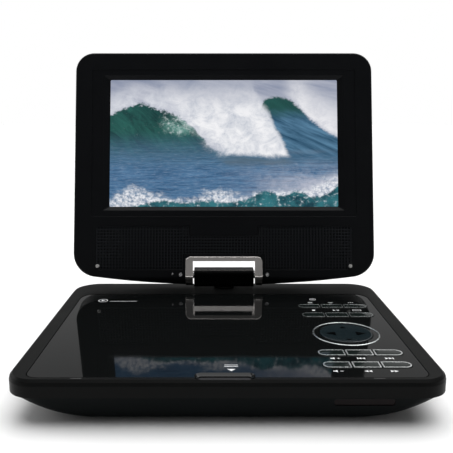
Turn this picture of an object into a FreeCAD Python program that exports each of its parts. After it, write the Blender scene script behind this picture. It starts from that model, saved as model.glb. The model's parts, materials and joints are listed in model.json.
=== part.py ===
import FreeCAD, Part
import math
import os

# Portable DVD player: a flat base with a disc door and keys, and a screen lid on a tilt-and-swivel hinge.
# Millimetres, +Z up, the front edge faces -Y. At rest the lid leans back from upright. The origin is the centre
# of the footprint of the whole open player, on the surface that its feet stand on.

V = FreeCAD.Vector
os.makedirs("parts", exist_ok=True)

# ---- driving dimensions: base ----
BASE_WIDTH = 202.0
BASE_DEPTH = 160.0
FRONT_CORNER_R = 13.0
REAR_CORNER_R = 17.0
FOOT_HEIGHT = 1.5
BASE_HEIGHT = 23.0                      # foot sole to the top plane
SEAM_DROP = 8.4                         # top plane to the seam between the two cases
SHOULDER_DROP = 2.9                     # height of the sloped shoulder round the top
SHOULDER_IN = 1.7
TUB_SIDE_INSET = 23.0                   # how far the lower tub draws in at each side
TUB_FRONT_INSET = 8.0
TUB_REAR_INSET = 12.0
SEAM_STEP = 0.7                         # the top case overhangs the tub
WALL = 1.8

# ---- driving dimensions: lid and hinge ----
LID_THICKNESS = 14.0
LID_TOP = 151.0                         # tilt axis to the top edge
LID_BOTTOM = 7.0                        # tilt axis to the bottom edge, at the centre
LID_BOW = 680.0                         # radius of the bowed bottom edge
LID_TOP_CORNER_R = 12.5
LID_BOTTOM_CORNER_R = 16.0
LID_HALF_WIDTH = 100.8
LID_BACK_EDGE_R, LID_FRONT_EDGE_R = 3.5, 1.2
LID_END_R = 6.6                         # rounding of the hinge end, about the tilt axis
LEAN_BACK = 14.0                        # degrees from upright at rest
AXIS_FROM_FRONT = 151.2                 # tilt and swivel axes
AXIS_ABOVE_TOP = 8.5
SHAFT_R = 2.5
RUNNING_GAP = 0.05                      # radial gap of a pin or shaft that turns

# ---- driving dimensions: door and keys ----
DOOR_HALF_WIDTH = 91.5
DOOR_FRONT = 3.6
DOOR_REAR = 133.2
DOOR_GAP = 0.45
DOOR_SKIN = 1.2
DOOR_THICK = 2.6
DOOR_FRONT_CORNER_R = 5.0
DOOR_REAR_CORNER_R = 10.0
DOOR_PIN_R = 0.75
DOOR_OPEN_ANGLE = 52.0
KEY_LEFT, KEY_RIGHT = 45.0, 87.0
KEY_SPLITS = (58.65, 72.5)
KEY_ROWS = {                            # front edge, rear edge and the names from left to right
    "a": (104.4, 110.4, ("menu", "title", "setup")),
    "b": (87.1, 94.3, ("stop", "play", "screen")),
    "c": (28.8, 36.2, ("volume_up", "previous", "next")),
    "d": (14.0, 21.0, ("volume_down", "rewind", "forward")),
}
KEY_PROUD = 0.35
KEY_GAP = 0.35
NAV_X, NAV_FROM_FRONT, NAV_R = 64.6, 60.0, 14.0
NOTCH_X, NOTCH_STRAIGHT, NOTCH_FROM_FRONT = -1.3, 21.0, 5.4
NOTCH_SCOOP_R, NOTCH_DEEP = 4.4, 1.5

# ---- driving dimensions: disc drive ----
HUB_X, HUB_FROM_FRONT = -22.0, 68.0
WELL_R = 63.0
WELL_FLOOR_DROP = 8.6
DISC_BORE_R = 7.5
LENS_START = 24.0                       # lens centre from the hub at rest
ROD_SPACING = 30.0
ROD_R = 1.5
GEAR_MODULE = 0.5
RACK_PINION_TEETH, WHEEL_TEETH, MOTOR_TEETH = 14, 36, 10
RACK_TEETH = 28
RACK_LEAD_TEETH = 24                    # teeth to the left of the sled gear at rest

# ---- driving dimensions: screen ----
LCD_WIDTH, LCD_HEIGHT = 154.1, 86.6     # active area of a seven inch wide panel
LCD_CENTRE_UP = 89.2
GRILLE_HALF_WIDTH = 86.0
GRILLE_LOW, GRILLE_HIGH = 2.9, 32.6
SPEAKER_X, SPEAKER_UP, SPEAKER_R = 77.0, 20.5, 9.5
BUMPER_X, BUMPER_UP, BUMPER_R = 84.5, 5.6, 1.25
LID_SCREW_X, LID_SCREW_HEAD_R, LID_SCREW_SHANK_R = 29.0, 1.4, 0.8
FRAME_HALF_WIDTH, FRAME_LOW, FRAME_HIGH, FRAME_SINK = 89.3, 38.9, 139.6, 0.35

# ---- places worked out from them ----
TOP = BASE_HEIGHT
SEAM = TOP - SEAM_DROP
FLOOR = FOOT_HEIGHT
AXIS_Z = TOP + AXIS_ABOVE_TOP
LEAN = math.radians(LEAN_BACK)
LID_REACH = LID_TOP * math.sin(LEAN) + (LID_THICKNESS / 2) * math.cos(LEAN)
FRONT = -(AXIS_FROM_FRONT + LID_REACH) / 2
AXIS_Y = FRONT + AXIS_FROM_FRONT
REAR = FRONT + BASE_DEPTH
MID_Y = FRONT + BASE_DEPTH / 2
HUB_Y = FRONT + HUB_FROM_FRONT
HALF = LID_THICKNESS / 2
DOOR_NOSE_R = DOOR_THICK / 2           # the door's rear edge is round about its hinge axis
DOOR_AXIS_Y = FRONT + DOOR_REAR - DOOR_NOSE_R
DOOR_AXIS_Z = TOP - DOOR_NOSE_R


# ---- helpers ----
def box(x0, x1, y0, y1, z0, z1):
    return Part.makeBox(x1 - x0, y1 - y0, z1 - z0, V(x0, y0, z0))


def rod_z(x, y, z0, z1, r):
    return Part.makeCylinder(r, z1 - z0, V(x, y, z0), V(0, 0, 1))


def rod_x(x0, x1, y, z, r):
    return Part.makeCylinder(r, x1 - x0, V(x0, y, z), V(1, 0, 0))


def rod_y(x, y0, y1, z, r):
    return Part.makeCylinder(r, y1 - y0, V(x, y0, z), V(0, 1, 0))


def rounded_wire(x0, x1, y0, y1, front_r, rear_r, z=0.0):
    """A rectangle with round corners in a level plane, made of four lines and four arcs."""
    c = math.sqrt(0.5)
    corners = (
        (x0 + front_r, y0 + front_r, front_r, -1, -1),
        (x1 - front_r, y0 + front_r, front_r, 1, -1),
        (x1 - rear_r, y1 - rear_r, rear_r, 1, 1),
        (x0 + rear_r, y1 - rear_r, rear_r, -1, 1),
    )
    arcs = []
    for i, (cx, cy, r, sx, sy) in enumerate(corners):
        along_x = V(cx + sx * r, cy, z)
        along_y = V(cx, cy + sy * r, z)
        middle = V(cx + sx * r * c, cy + sy * r * c, z)
        ends = (along_x, along_y) if i in (0, 2) else (along_y, along_x)
        arcs.append((ends[0], middle, ends[1]))
    edges = []
    for i, (start, middle, end) in enumerate(arcs):
        edges.append(Part.Arc(start, middle, end).toShape())
        edges.append(Part.makeLine(end, arcs[(i + 1) % 4][0]))
    return Part.Wire(edges)


def slab(x0, x1, y0, y1, z0, z1, front_r, rear_r):
    """A flat plate with round corners."""
    face = Part.Face(rounded_wire(x0, x1, y0, y1, front_r, rear_r, z0))
    return face.extrude(V(0, 0, z1 - z0))


def prism(points, direction):
    """A polygon of points, extruded."""
    return Part.Face(Part.makePolygon(list(points) + [points[0]])).extrude(direction)


def joined(shapes):
    shapes = list(shapes)
    return shapes[0].multiFuse(shapes[1:]).removeSplitter() if len(shapes) > 1 else shapes[0]


def minus(shape, *tools):
    return shape.cut(list(tools))


def on_lid(shape):
    """From the lid's own place (x, -Y out of the screen, Z up the lid, axis at the origin) to the open lid."""
    moved = shape.copy()
    moved.rotate(V(0, 0, 0), V(1, 0, 0), -LEAN_BACK)
    moved.translate(V(0, AXIS_Y, AXIS_Z))
    return moved


def save(node, *solids):
    shape = solids[0] if len(solids) == 1 else Part.makeCompound(list(solids))
    if not shape.isValid():
        print("INVALID", node)
    shape.exportStep("parts/%s.step" % node)


def mirrored(shape):
    return shape.mirror(V(0, 0, 0), V(1, 0, 0))


# ---- base cases ----
def tub_section(share, offset, z):
    """The tub's outline where it has drawn in by a share of its inset, taken in by a further offset."""
    side = SEAM_STEP + TUB_SIDE_INSET * share + offset
    front = SEAM_STEP + TUB_FRONT_INSET * share + offset
    rear = SEAM_STEP + TUB_REAR_INSET * share + offset
    half = BASE_WIDTH / 2 - side
    grow = 8.0 * share - offset
    return rounded_wire(-half, half, FRONT + front, REAR - rear, FRONT_CORNER_R + grow, REAR_CORNER_R + grow, z)


def tub_solid(offset, floor):
    """The lower case's outside, or its inside when an offset is given."""
    depth = SEAM - floor
    wires = []
    for share in (0.0, 0.2, 0.45, 0.72, 0.9):
        drop = depth * (1 - (1 - share) ** 1.8)
        wires.append(tub_section(share, offset, SEAM - drop))
    lowest = SEAM - depth * (1 - 0.1 ** 1.8)
    body = Part.makeLoft(wires, True, False)
    foot = Part.makeLoft([wires[-1], tub_section(1.0, offset, lowest - 0.2)], True, True)
    return joined([body, foot])


JACK_PAD_FRONT, JACK_PAD_REAR = FRONT + 84.0, FRONT + 140.0
JACK_PAD_LOW = SEAM - 9.8
JACK_Z = SEAM - 4.0
WALL_OUT = BASE_WIDTH / 2 - SEAM_STEP
HEADPHONE_Y, AV_Y, DC_Y, SWITCH_Y = FRONT + 92.0, FRONT + 103.0, FRONT + 115.5, FRONT + 130.0
JACK_COLLAR_R, DC_COLLAR_R = 2.9, 3.6
SWITCH_LENGTH, SWITCH_HEIGHT, SWITCH_TRAVEL = 8.0, 3.2, 3.0
WINDOW_LEFT, WINDOW_RIGHT, WINDOW_HIGH, WINDOW_LOW = 47.9, 75.4, SEAM - 0.8, SEAM - 4.6
BATTERY_HALF, BATTERY_FRONT, BATTERY_REAR = 60.0, FRONT + 13.5, FRONT + 33.0
COVER_HALF, COVER_FRONT, COVER_REAR, COVER_THICK = 52.0, FRONT + 15.0, FRONT + 33.0, 1.2
CASE_SCREWS = ((-72.0, 26.0), (72.0, 26.0), (-70.0, 128.0), (70.0, 128.0), (30.0, 142.0))
SCREW_HEAD_R, SCREW_SHANK_R = 2.4, 1.2
BOSS_JOINT = TOP - 13.2                 # where the bosses of the two cases meet
SCREW_TIP = TOP - 9.2


def bottom_case():
    shell = minus(tub_solid(0.0, FLOOR), tub_solid(WALL, FLOOR + WALL))
    outer_pad = slab(60.0, WALL_OUT, JACK_PAD_FRONT, JACK_PAD_REAR, JACK_PAD_LOW, SEAM, 2.0, 2.0)
    inner_pad = box(50.0, WALL_OUT - WALL, JACK_PAD_FRONT + WALL, JACK_PAD_REAR - WALL,
                    JACK_PAD_LOW + WALL, SEAM)
    pad = minus(outer_pad, tub_solid(WALL, FLOOR + WALL))
    case = minus(joined([shell, pad]), inner_pad)
    for x, y in CASE_SCREWS:
        boss = rod_z(x, FRONT + y, FLOOR + 1.0, BOSS_JOINT, 3.2)
        case = joined([case, boss])
    for x, y in CASE_SCREWS:
        case = minus(case, rod_z(x, FRONT + y, FLOOR - 1.0, FLOOR + 1.6, SCREW_HEAD_R + 0.2))
        case = minus(case, rod_z(x, FRONT + y, FLOOR, BOSS_JOINT + 1.0, SCREW_SHANK_R + 0.15))
    case = minus(case, rod_x(WALL_OUT - 4, WALL_OUT + 1, HEADPHONE_Y, JACK_Z, JACK_COLLAR_R + 0.15))
    case = minus(case, rod_x(WALL_OUT - 4, WALL_OUT + 1, AV_Y, JACK_Z, JACK_COLLAR_R + 0.15))
    case = minus(case, rod_x(WALL_OUT - 4, WALL_OUT + 1, DC_Y, JACK_Z, DC_COLLAR_R + 0.15))
    half_slot, half_high = SWITCH_LENGTH / 2, SWITCH_HEIGHT / 2
    case = minus(case, box(WALL_OUT - 4, WALL_OUT + 1, SWITCH_Y - half_slot, SWITCH_Y + half_slot,
                           JACK_Z - half_high, JACK_Z + half_high))
    case = minus(case, window_blank(0.0, -2.0))
    case = minus(case, slab(-COVER_HALF - 0.3, COVER_HALF + 0.3, COVER_FRONT - 0.3, COVER_REAR + 0.3,
                            FLOOR - 1.0, FLOOR + COVER_THICK, 2.0, 2.0))
    case = minus(case, slab(-COVER_HALF + 3, COVER_HALF - 3, COVER_FRONT + 3, COVER_REAR - 3,
                            FLOOR, FLOOR + WALL + 1, 2.0, 2.0))
    save("bottom_case", case)


def window_blank(shrink, back):
    """The infra-red window's plug: an upright plate with round corners across the front wall."""
    width = WINDOW_RIGHT - WINDOW_LEFT - 2 * shrink
    high = WINDOW_HIGH - WINDOW_LOW - 2 * shrink
    wire = rounded_wire(-width / 2, width / 2, -high / 2, high / 2, 1.2, 1.2)
    blank = Part.Face(wire).extrude(V(0, 0, 14.0 + back))
    blank.rotate(V(0, 0, 0), V(1, 0, 0), 90)
    middle = (WINDOW_LEFT + WINDOW_RIGHT) / 2
    blank.translate(V(middle, FRONT + 12.0, (WINDOW_LOW + WINDOW_HIGH) / 2))
    return blank


def remote_window():
    """It fills its opening and follows the tub's curved outside."""
    skin = minus(tub_solid(0.25, FLOOR + 0.25), tub_solid(WALL, FLOOR + WALL))
    save("remote_window", skin.common(window_blank(0.0, 0.0)))


def door_outline(offset, z0, z1):
    return slab(-DOOR_HALF_WIDTH - offset, DOOR_HALF_WIDTH + offset, FRONT + DOOR_FRONT - offset,
                FRONT + DOOR_REAR + offset, z0, z1, DOOR_FRONT_CORNER_R + offset, DOOR_REAR_CORNER_R + offset)


def door_opening():
    """The hole in the top plate. At the rear corners it leaves room for the door's edge to turn."""
    swing = DOOR_NOSE_R * math.sin(math.radians(DOOR_OPEN_ANGLE)) + 0.1
    behind = door_outline(DOOR_GAP, TOP - 3.0, TOP + 1)
    behind.translate(V(0, swing, 0))
    limit = box(-BASE_WIDTH / 2, BASE_WIDTH / 2, HUB_Y, FRONT + DOOR_REAR + DOOR_GAP, 0, TOP + 1)
    return joined([door_outline(DOOR_GAP, TOP - 3.0, TOP + 1), behind.common(limit)])


DOOR_PIN_START, DOOR_PIN_END = 78.0, 91.5
KEY_BAY_X = 42.5
DECK_DROP, KEY_DECK_DROP, DECK_THICK = 3.1, 6.4, 1.3
SWIVEL_SHAFT_R, SWIVEL_NECK_R, RETAINER_R = 4.5, 6.8, 6.2
TOP_PLATE = 2.4
PICKUP_SLOT_HIGH = TOP - KEY_DECK_DROP - DECK_THICK + 0.05   # the slot runs on under the key deck


def top_case():
    half = BASE_WIDTH / 2
    outer = slab(-half, half, FRONT, REAR, SEAM, TOP, FRONT_CORNER_R, REAR_CORNER_R)
    outer = shoulder(outer)
    inner = slab(-half + 2.3, half - 2.3, FRONT + 2.3, REAR - 2.3, SEAM - 1, TOP - TOP_PLATE,
                 FRONT_CORNER_R - 2.3, REAR_CORNER_R - 2.3)
    shell = minus(outer, inner)
    tray = minus(door_outline(DOOR_GAP + 1.4, TOP - KEY_DECK_DROP - DECK_THICK, TOP - 1.0),
                 door_outline(DOOR_GAP, TOP - KEY_DECK_DROP - DECK_THICK - 1, TOP))
    deck = door_outline(DOOR_GAP + 0.2, TOP - DECK_DROP - DECK_THICK, TOP - DECK_DROP)
    key_deck = door_outline(DOOR_GAP + 0.2, TOP - KEY_DECK_DROP - DECK_THICK, TOP - KEY_DECK_DROP)
    left_part = box(-half, KEY_BAY_X, FRONT, REAR, 0, TOP)
    key_part = box(KEY_BAY_X - DECK_THICK, half, FRONT, REAR, 0, TOP)
    step = box(KEY_BAY_X - DECK_THICK, KEY_BAY_X, FRONT + 2.0, FRONT + DOOR_REAR + 1.0,
               TOP - KEY_DECK_DROP - DECK_THICK, TOP - DECK_DROP)
    well = rod_z(HUB_X, HUB_Y, TOP - WELL_FLOOR_DROP - DECK_THICK, TOP - DECK_DROP, WELL_R + 1.4)
    well = well.common(door_outline(DOOR_GAP + 0.2, 0, TOP))
    case = joined([minus(shell, door_opening()), minus(tray, door_opening()),
                   deck.common(left_part), key_deck.common(key_part), step, well])
    case = minus(case, rod_z(HUB_X, HUB_Y, TOP - WELL_FLOOR_DROP, TOP + 1, WELL_R))
    slot_front, slot_rear = HUB_Y - 11.0, HUB_Y + 11.0
    case = minus(case, box(HUB_X, HUB_X + WELL_R + 6.0, slot_front, slot_rear, TOP - 12, PICKUP_SLOT_HIGH))
    case = minus(case, rod_z(HUB_X, HUB_Y, TOP - 12, TOP - WELL_FLOOR_DROP + 0.1, 14.6))
    case = minus(case, rod_z(0, AXIS_Y, TOP - 4, TOP + 1, SWIVEL_SHAFT_R + RUNNING_GAP))
    for side in (-1, 1):
        x0, x1 = sorted((side * (DOOR_PIN_END - 6), side * (DOOR_PIN_END + 1)))
        ear = box(x0, x1, DOOR_AXIS_Y - 2.2, DOOR_AXIS_Y + 2.2, DOOR_AXIS_Z - 2.0, TOP - 1.0)
        case = joined([case, minus(ear, door_opening())])
        x0, x1 = sorted((side * (DOOR_PIN_START + 2), side * (DOOR_PIN_END + 0.3)))
        case = minus(case, rod_x(x0, x1, DOOR_AXIS_Y, DOOR_AXIS_Z, DOOR_PIN_R + RUNNING_GAP))
    for x, y in CASE_SCREWS:
        if y > DOOR_REAR:
            ceiling = TOP - TOP_PLATE + 0.3
        else:
            ceiling = TOP - 0.5 - (KEY_DECK_DROP if x > KEY_BAY_X else DECK_DROP)
        boss = rod_z(x, FRONT + y, BOSS_JOINT, ceiling, 2.6)
        case = joined([case, minus(boss, rod_z(HUB_X, HUB_Y, 0, TOP, WELL_R + 0.5))])
        case = minus(case, rod_z(x, FRONT + y, 0, SCREW_TIP + 0.3, SCREW_SHANK_R))
    case = minus(case, box(-8, 8, FRONT + 2.3, FRONT + 6.8, TOP - SEAM_DROP, TOP - 2.2))
    case = minus(case, finger_notch(0.6))
    save("top_case", case)


def shoulder(outer):
    """The sloped shoulder round the top: the plate's top edge drawn in over the shoulder's height."""
    half = BASE_WIDTH / 2
    low = rounded_wire(-half, half, FRONT, REAR, FRONT_CORNER_R, REAR_CORNER_R, TOP - SHOULDER_DROP)
    mid = rounded_wire(-half + 0.45, half - 0.45, FRONT + 0.45, REAR - 0.45, FRONT_CORNER_R - 0.45,
                       REAR_CORNER_R - 0.45, TOP - 1.3)
    s = SHOULDER_IN
    high = rounded_wire(-half + s, half - s, FRONT + s, REAR - s, FRONT_CORNER_R - s, REAR_CORNER_R - s, TOP)
    cap = joined([Part.makeLoft([low, mid], True, True), Part.makeLoft([mid, high], True, True)])
    skirt = outer.common(box(-half - 1, half + 1, FRONT - 1, REAR + 1, SEAM - 1, TOP - SHOULDER_DROP))
    return joined([skirt, cap])


def finger_notch(deeper):
    """The wide shallow scoop at the front edge of the door that a finger lifts it by."""
    r = NOTCH_SCOOP_R + deeper
    y, z = FRONT + NOTCH_FROM_FRONT, TOP + NOTCH_SCOOP_R - NOTCH_DEEP
    left, right = NOTCH_X - NOTCH_STRAIGHT / 2, NOTCH_X + NOTCH_STRAIGHT / 2
    ends = []
    for x in (left, right):
        ball = Part.makeSphere(r)
        ball.translate(V(x, y, z))
        ends.append(ball)
    return joined([rod_x(left, right, y, z, r)] + ends)


# ---- disc door ----
def key_row_blank(front, rear, grow, z0, z1):
    r = (rear - front) / 2 + grow - 0.01
    return slab(KEY_LEFT - grow, KEY_RIGHT + grow, FRONT + front - grow, FRONT + rear + grow, z0, z1, r, r)


def door_solid():
    """The whole door's outside, with a rear edge that is round about the hinge axis."""
    flat = door_outline(0.0, TOP - DOOR_THICK, TOP)
    span = 2 * DOOR_HALF_WIDTH + 2
    block = box(-span / 2, span / 2, DOOR_AXIS_Y, DOOR_AXIS_Y + 5, TOP - 8, TOP + 1)
    round_edge = rod_x(-span / 2, span / 2, DOOR_AXIS_Y, DOOR_AXIS_Z, DOOR_NOSE_R)
    return minus(flat, minus(block, round_edge))


def door_skin():
    """The outer glossy layer, with the round rear edge that holds the hinge pins."""
    span = 2 * DOOR_HALF_WIDTH + 2
    return minus(door_solid(), box(-span / 2, span / 2, FRONT, DOOR_AXIS_Y - 1.0, TOP - 8, TOP - DOOR_SKIN))


def door_panel():
    panel = minus(door_skin(), finger_notch(0.0))
    for front, rear, _ in KEY_ROWS.values():
        panel = minus(panel, key_row_blank(front, rear, KEY_GAP, TOP - 3, TOP + 1))
    panel = minus(panel, rod_z(NAV_X, FRONT + NAV_FROM_FRONT, TOP - 3, TOP + 1, NAV_R + KEY_GAP))
    for side in (-1, 1):
        x0, x1 = sorted((side * DOOR_PIN_START, side * (DOOR_HALF_WIDTH + 1)))
        panel = minus(panel, rod_x(x0, x1, DOOR_AXIS_Y, DOOR_AXIS_Z, DOOR_PIN_R))
    save("door_panel", panel)


TRAY_LEFT, TRAY_RIGHT, TRAY_FRONT, TRAY_REAR = KEY_BAY_X + 0.8, 89.4, FRONT + 9.0, FRONT + 115.5
TRAY_DROP = 5.6
BOARD_TOP_DROP, BOARD_THICK = 3.8, 1.0


def door_frame():
    frame = minus(door_solid(), door_skin(), finger_notch(0.4))
    tray = box(TRAY_LEFT, TRAY_RIGHT, TRAY_FRONT, TRAY_REAR, TOP - TRAY_DROP, TOP - DOOR_SKIN)
    hollow = box(TRAY_LEFT + 0.9, TRAY_RIGHT - 0.9, TRAY_FRONT + 0.9, TRAY_REAR - 0.9,
                 TOP - BOARD_TOP_DROP - BOARD_THICK, TOP - DOOR_SKIN + 0.1)
    frame = minus(joined([frame, tray]), hollow)
    frame = minus(frame, box(TRAY_LEFT + 0.9, TRAY_RIGHT - 0.9, TRAY_FRONT + 0.9, TRAY_REAR - 0.9,
                             TOP - 3, TOP - 1.1))
    hook = joined([
        box(-6, 6, FRONT + DOOR_FRONT + 0.6, FRONT + DOOR_FRONT + 1.8, TOP - 4.9, TOP - DOOR_SKIN - 0.8),
        box(-6, 6, FRONT + DOOR_FRONT - 0.1, FRONT + DOOR_FRONT + 1.8, TOP - 4.9, TOP - 4.3),
    ])
    frame = joined([frame, minus(hook, finger_notch(0.4))])
    save("door_frame", frame)


def door_pins():
    pin = rod_x(DOOR_PIN_START, DOOR_PIN_END, DOOR_AXIS_Y, DOOR_AXIS_Z, DOOR_PIN_R)
    save("door_pins", pin, mirrored(pin))


def key_board():
    gap = 1.1
    board = box(TRAY_LEFT + gap, TRAY_RIGHT - gap, TRAY_FRONT + gap, TRAY_REAR - gap,
                TOP - BOARD_TOP_DROP - BOARD_THICK, TOP - BOARD_TOP_DROP)
    domes = []
    for front, rear, _ in KEY_ROWS.values():
        for x0, x1 in key_spans():
            domes.append(rod_z((x0 + x1) / 2, FRONT + (front + rear) / 2, TOP - BOARD_TOP_DROP - 0.2,
                               TOP - BOARD_TOP_DROP + 0.12, 2.0))
    domes.append(rod_z(NAV_X, FRONT + NAV_FROM_FRONT, TOP - BOARD_TOP_DROP - 0.2,
                       TOP - BOARD_TOP_DROP + 0.12, 3.0))
    save("key_board", joined([board] + domes))


def key_spans():
    """Left and right edges of the three keys of a row."""
    gap = 0.3
    edges = (KEY_LEFT,) + KEY_SPLITS + (KEY_RIGHT,)
    return [(edges[i] + (gap if i else 0.0), edges[i + 1] - (gap if i < 2 else 0.0)) for i in range(3)]


def keys():
    for front, rear, names in KEY_ROWS.values():
        cap = key_row_blank(front, rear, 0.0, TOP - 1.5, TOP + KEY_PROUD)
        flange = key_row_blank(front, rear, 0.8, TOP - 2.1, TOP - 1.5)
        row = joined([cap, flange])
        for name, (x0, x1) in zip(names, key_spans()):
            left = x0 - (2.0 if x0 == KEY_LEFT else 0.0)
            right = x1 + (2.0 if x1 == KEY_RIGHT else 0.0)
            key = row.common(box(left, right, FRONT, REAR, TOP - 4, TOP + 2))
            stem = rod_z((x0 + x1) / 2, FRONT + (front + rear) / 2, TOP - 2.7, TOP - 2.0, 1.2)
            save("key_" + name, joined([key, stem]))


def nav_pad():
    y = FRONT + NAV_FROM_FRONT
    cap = rod_z(NAV_X, y, TOP - 1.5, TOP + 0.5, NAV_R)
    dish_r = 90.0
    dish = Part.makeSphere(dish_r)
    dish.translate(V(NAV_X, y, TOP - 0.2 + dish_r))
    flange = rod_z(NAV_X, y, TOP - 2.1, TOP - 1.5, NAV_R + 0.8)
    stem = rod_z(NAV_X, y, TOP - 2.7, TOP - 2.0, 2.4)
    save("nav_pad", joined([minus(cap, dish), flange, stem]))


# ---- base fittings ----
def feet():
    for name, x, y in (("front_left", -62.0, 20.0), ("front_right", 62.0, 20.0),
                       ("rear_left", -62.0, 138.0), ("rear_right", 62.0, 138.0)):
        foot = rod_z(x, FRONT + y, 0.0, FLOOR, 5.0)
        rim = [e for e in foot.Edges if e.BoundBox.ZMax < 0.01]
        save("foot_" + name, foot.makeFillet(0.5, rim))


def battery():
    cover = slab(-COVER_HALF, COVER_HALF, COVER_FRONT, COVER_REAR, FLOOR, FLOOR + COVER_THICK - 0.05, 2.0, 2.0)
    save("battery_cover", cover)
    gap = 1.0
    cell_low, cell_high = FLOOR + WALL + 0.2, FLOOR + WALL + 6.4
    cells = [
        slab(-BATTERY_HALF, -gap / 2, BATTERY_FRONT, BATTERY_REAR, cell_low, cell_high, 1.5, 1.5),
        slab(gap / 2, BATTERY_HALF, BATTERY_FRONT, BATTERY_REAR, cell_low, cell_high, 1.5, 1.5),
    ]
    wrap = box(-3.0, 3.0, BATTERY_FRONT + 4, BATTERY_REAR - 4, cell_low + 1.0, cell_high)
    save("battery_pack", joined(cells + [wrap]))


BOARD_LOW = FLOOR + WALL + 2.6
BOARD_FRONT, BOARD_REAR = FRONT + 99.0, FRONT + 144.0


def boards():
    board = box(-68.0, 78.0, BOARD_FRONT, BOARD_REAR, BOARD_LOW, BOARD_LOW + 1.2)
    tail = box(-68.0, -44.0, FRONT + 46.0, BOARD_FRONT + 1, BOARD_LOW, BOARD_LOW + 1.2)
    board = joined([board, tail])
    for x, y in CASE_SCREWS:
        board = minus(board, rod_z(x, FRONT + y, 0, TOP, 3.6))
    board = minus(board, rod_z(0, AXIS_Y, 0, TOP, 6.0))
    save("main_board", board)
    chip = box(20.0, 38.0, FRONT + 112.0, FRONT + 130.0, BOARD_LOW + 1.2, BOARD_LOW + 2.8)
    save("decoder_chip", chip)


def jack(node, y, bore_r, collar_r, deep, pin_r):
    inside = WALL_OUT - WALL - 0.3
    body = box(inside - deep, inside, y - 4.2, y + 4.2, JACK_Z - 3.6, JACK_Z + 3.4)
    collar = rod_x(WALL_OUT - WALL - 1.0, WALL_OUT - 0.1, y, JACK_Z, collar_r)
    socket = minus(joined([body, collar]), rod_x(WALL_OUT - deep, WALL_OUT + 1, y, JACK_Z, bore_r))
    if pin_r:
        socket = joined([socket, rod_x(WALL_OUT - deep - 1.0, WALL_OUT - 1.2, y, JACK_Z, pin_r)])
    save(node, socket)


def power_switch():
    low, high = JACK_Z - 3.0, JACK_Z + 3.0
    back = WALL_OUT - WALL - 0.4
    body = box(back - 4.2, back, SWITCH_Y - 6.5, SWITCH_Y + 6.5, low, high)
    groove = box(back - 2.2, back + 1, SWITCH_Y - 5.0, SWITCH_Y + 5.0, JACK_Z - 1.9, JACK_Z + 1.9)
    save("power_switch_body", minus(body, groove))
    rest = SWITCH_Y - SWITCH_TRAVEL / 2
    carrier = box(back - 1.8, back - 0.4, rest - 3.2, rest + 3.2, JACK_Z - 1.5, JACK_Z + 1.5)
    knob = box(back - 0.6, WALL_OUT + 1.0, rest - 1.9, rest + 1.9, JACK_Z - 1.2, JACK_Z + 1.2)
    save("power_slider", joined([carrier, knob]))


def latch_catch():
    plate = box(-7, 7, FRONT + 2.3, FRONT + 2.8, TOP - SEAM_DROP + 0.4, TOP - TOP_PLATE)
    lip = box(-5.5, 5.5, FRONT + 2.3, FRONT + 3.9, TOP - 4.0, TOP - 3.7)
    save("latch_catch", joined([plate, lip]))


def case_screws():
    screws = []
    for x, y in CASE_SCREWS:
        head = rod_z(x, FRONT + y, FLOOR + 0.5, FLOOR + 1.6, SCREW_HEAD_R)
        head = minus(head, box(x - 1.4, x + 1.4, FRONT + y - 0.3, FRONT + y + 0.3, 0, FLOOR + 1.1),
                     box(x - 0.3, x + 0.3, FRONT + y - 1.4, FRONT + y + 1.4, 0, FLOOR + 1.1))
        screws.append(joined([head, rod_z(x, FRONT + y, FLOOR + 1.5, SCREW_TIP, SCREW_SHANK_R - 0.02)]))
    save("case_screws", *screws)


# ---- disc drive ----
PLATE_HIGH = TOP - 12.0
PLATE_LOW = PLATE_HIGH - 1.0
ROD_Z = TOP - 14.9
ROD_FRONT, ROD_REAR = HUB_Y - ROD_SPACING / 2, HUB_Y + ROD_SPACING / 2
ROD_START, ROD_END = HUB_X + 13.0, HUB_X + 82.0
LENS_X = HUB_X + LENS_START
RACK_R = GEAR_MODULE * RACK_PINION_TEETH / 2
WHEEL_R = GEAR_MODULE * WHEEL_TEETH / 2
MOTOR_R = GEAR_MODULE * MOTOR_TEETH / 2
RACK_PITCH_Y = ROD_FRONT - 5.0
GEAR_X, GEAR_Y = HUB_X + 50.0, RACK_PITCH_Y - RACK_R
MOTOR_BEARING = math.radians(210)       # direction from the sled gear to the motor pinion
MOTOR_X = GEAR_X + (WHEEL_R + MOTOR_R) * math.cos(MOTOR_BEARING)
MOTOR_Y = GEAR_Y + (WHEEL_R + MOTOR_R) * math.sin(MOTOR_BEARING)
RACK_LOW, RACK_HIGH = PLATE_LOW - 2.0, PLATE_LOW - 0.5
WHEEL_LOW, WHEEL_HIGH = PLATE_HIGH + 0.4, PLATE_HIGH + 1.6
SHELF_LOW = RACK_LOW - 1.6
POST_R = 1.0
BACKLASH = 0.10


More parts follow.
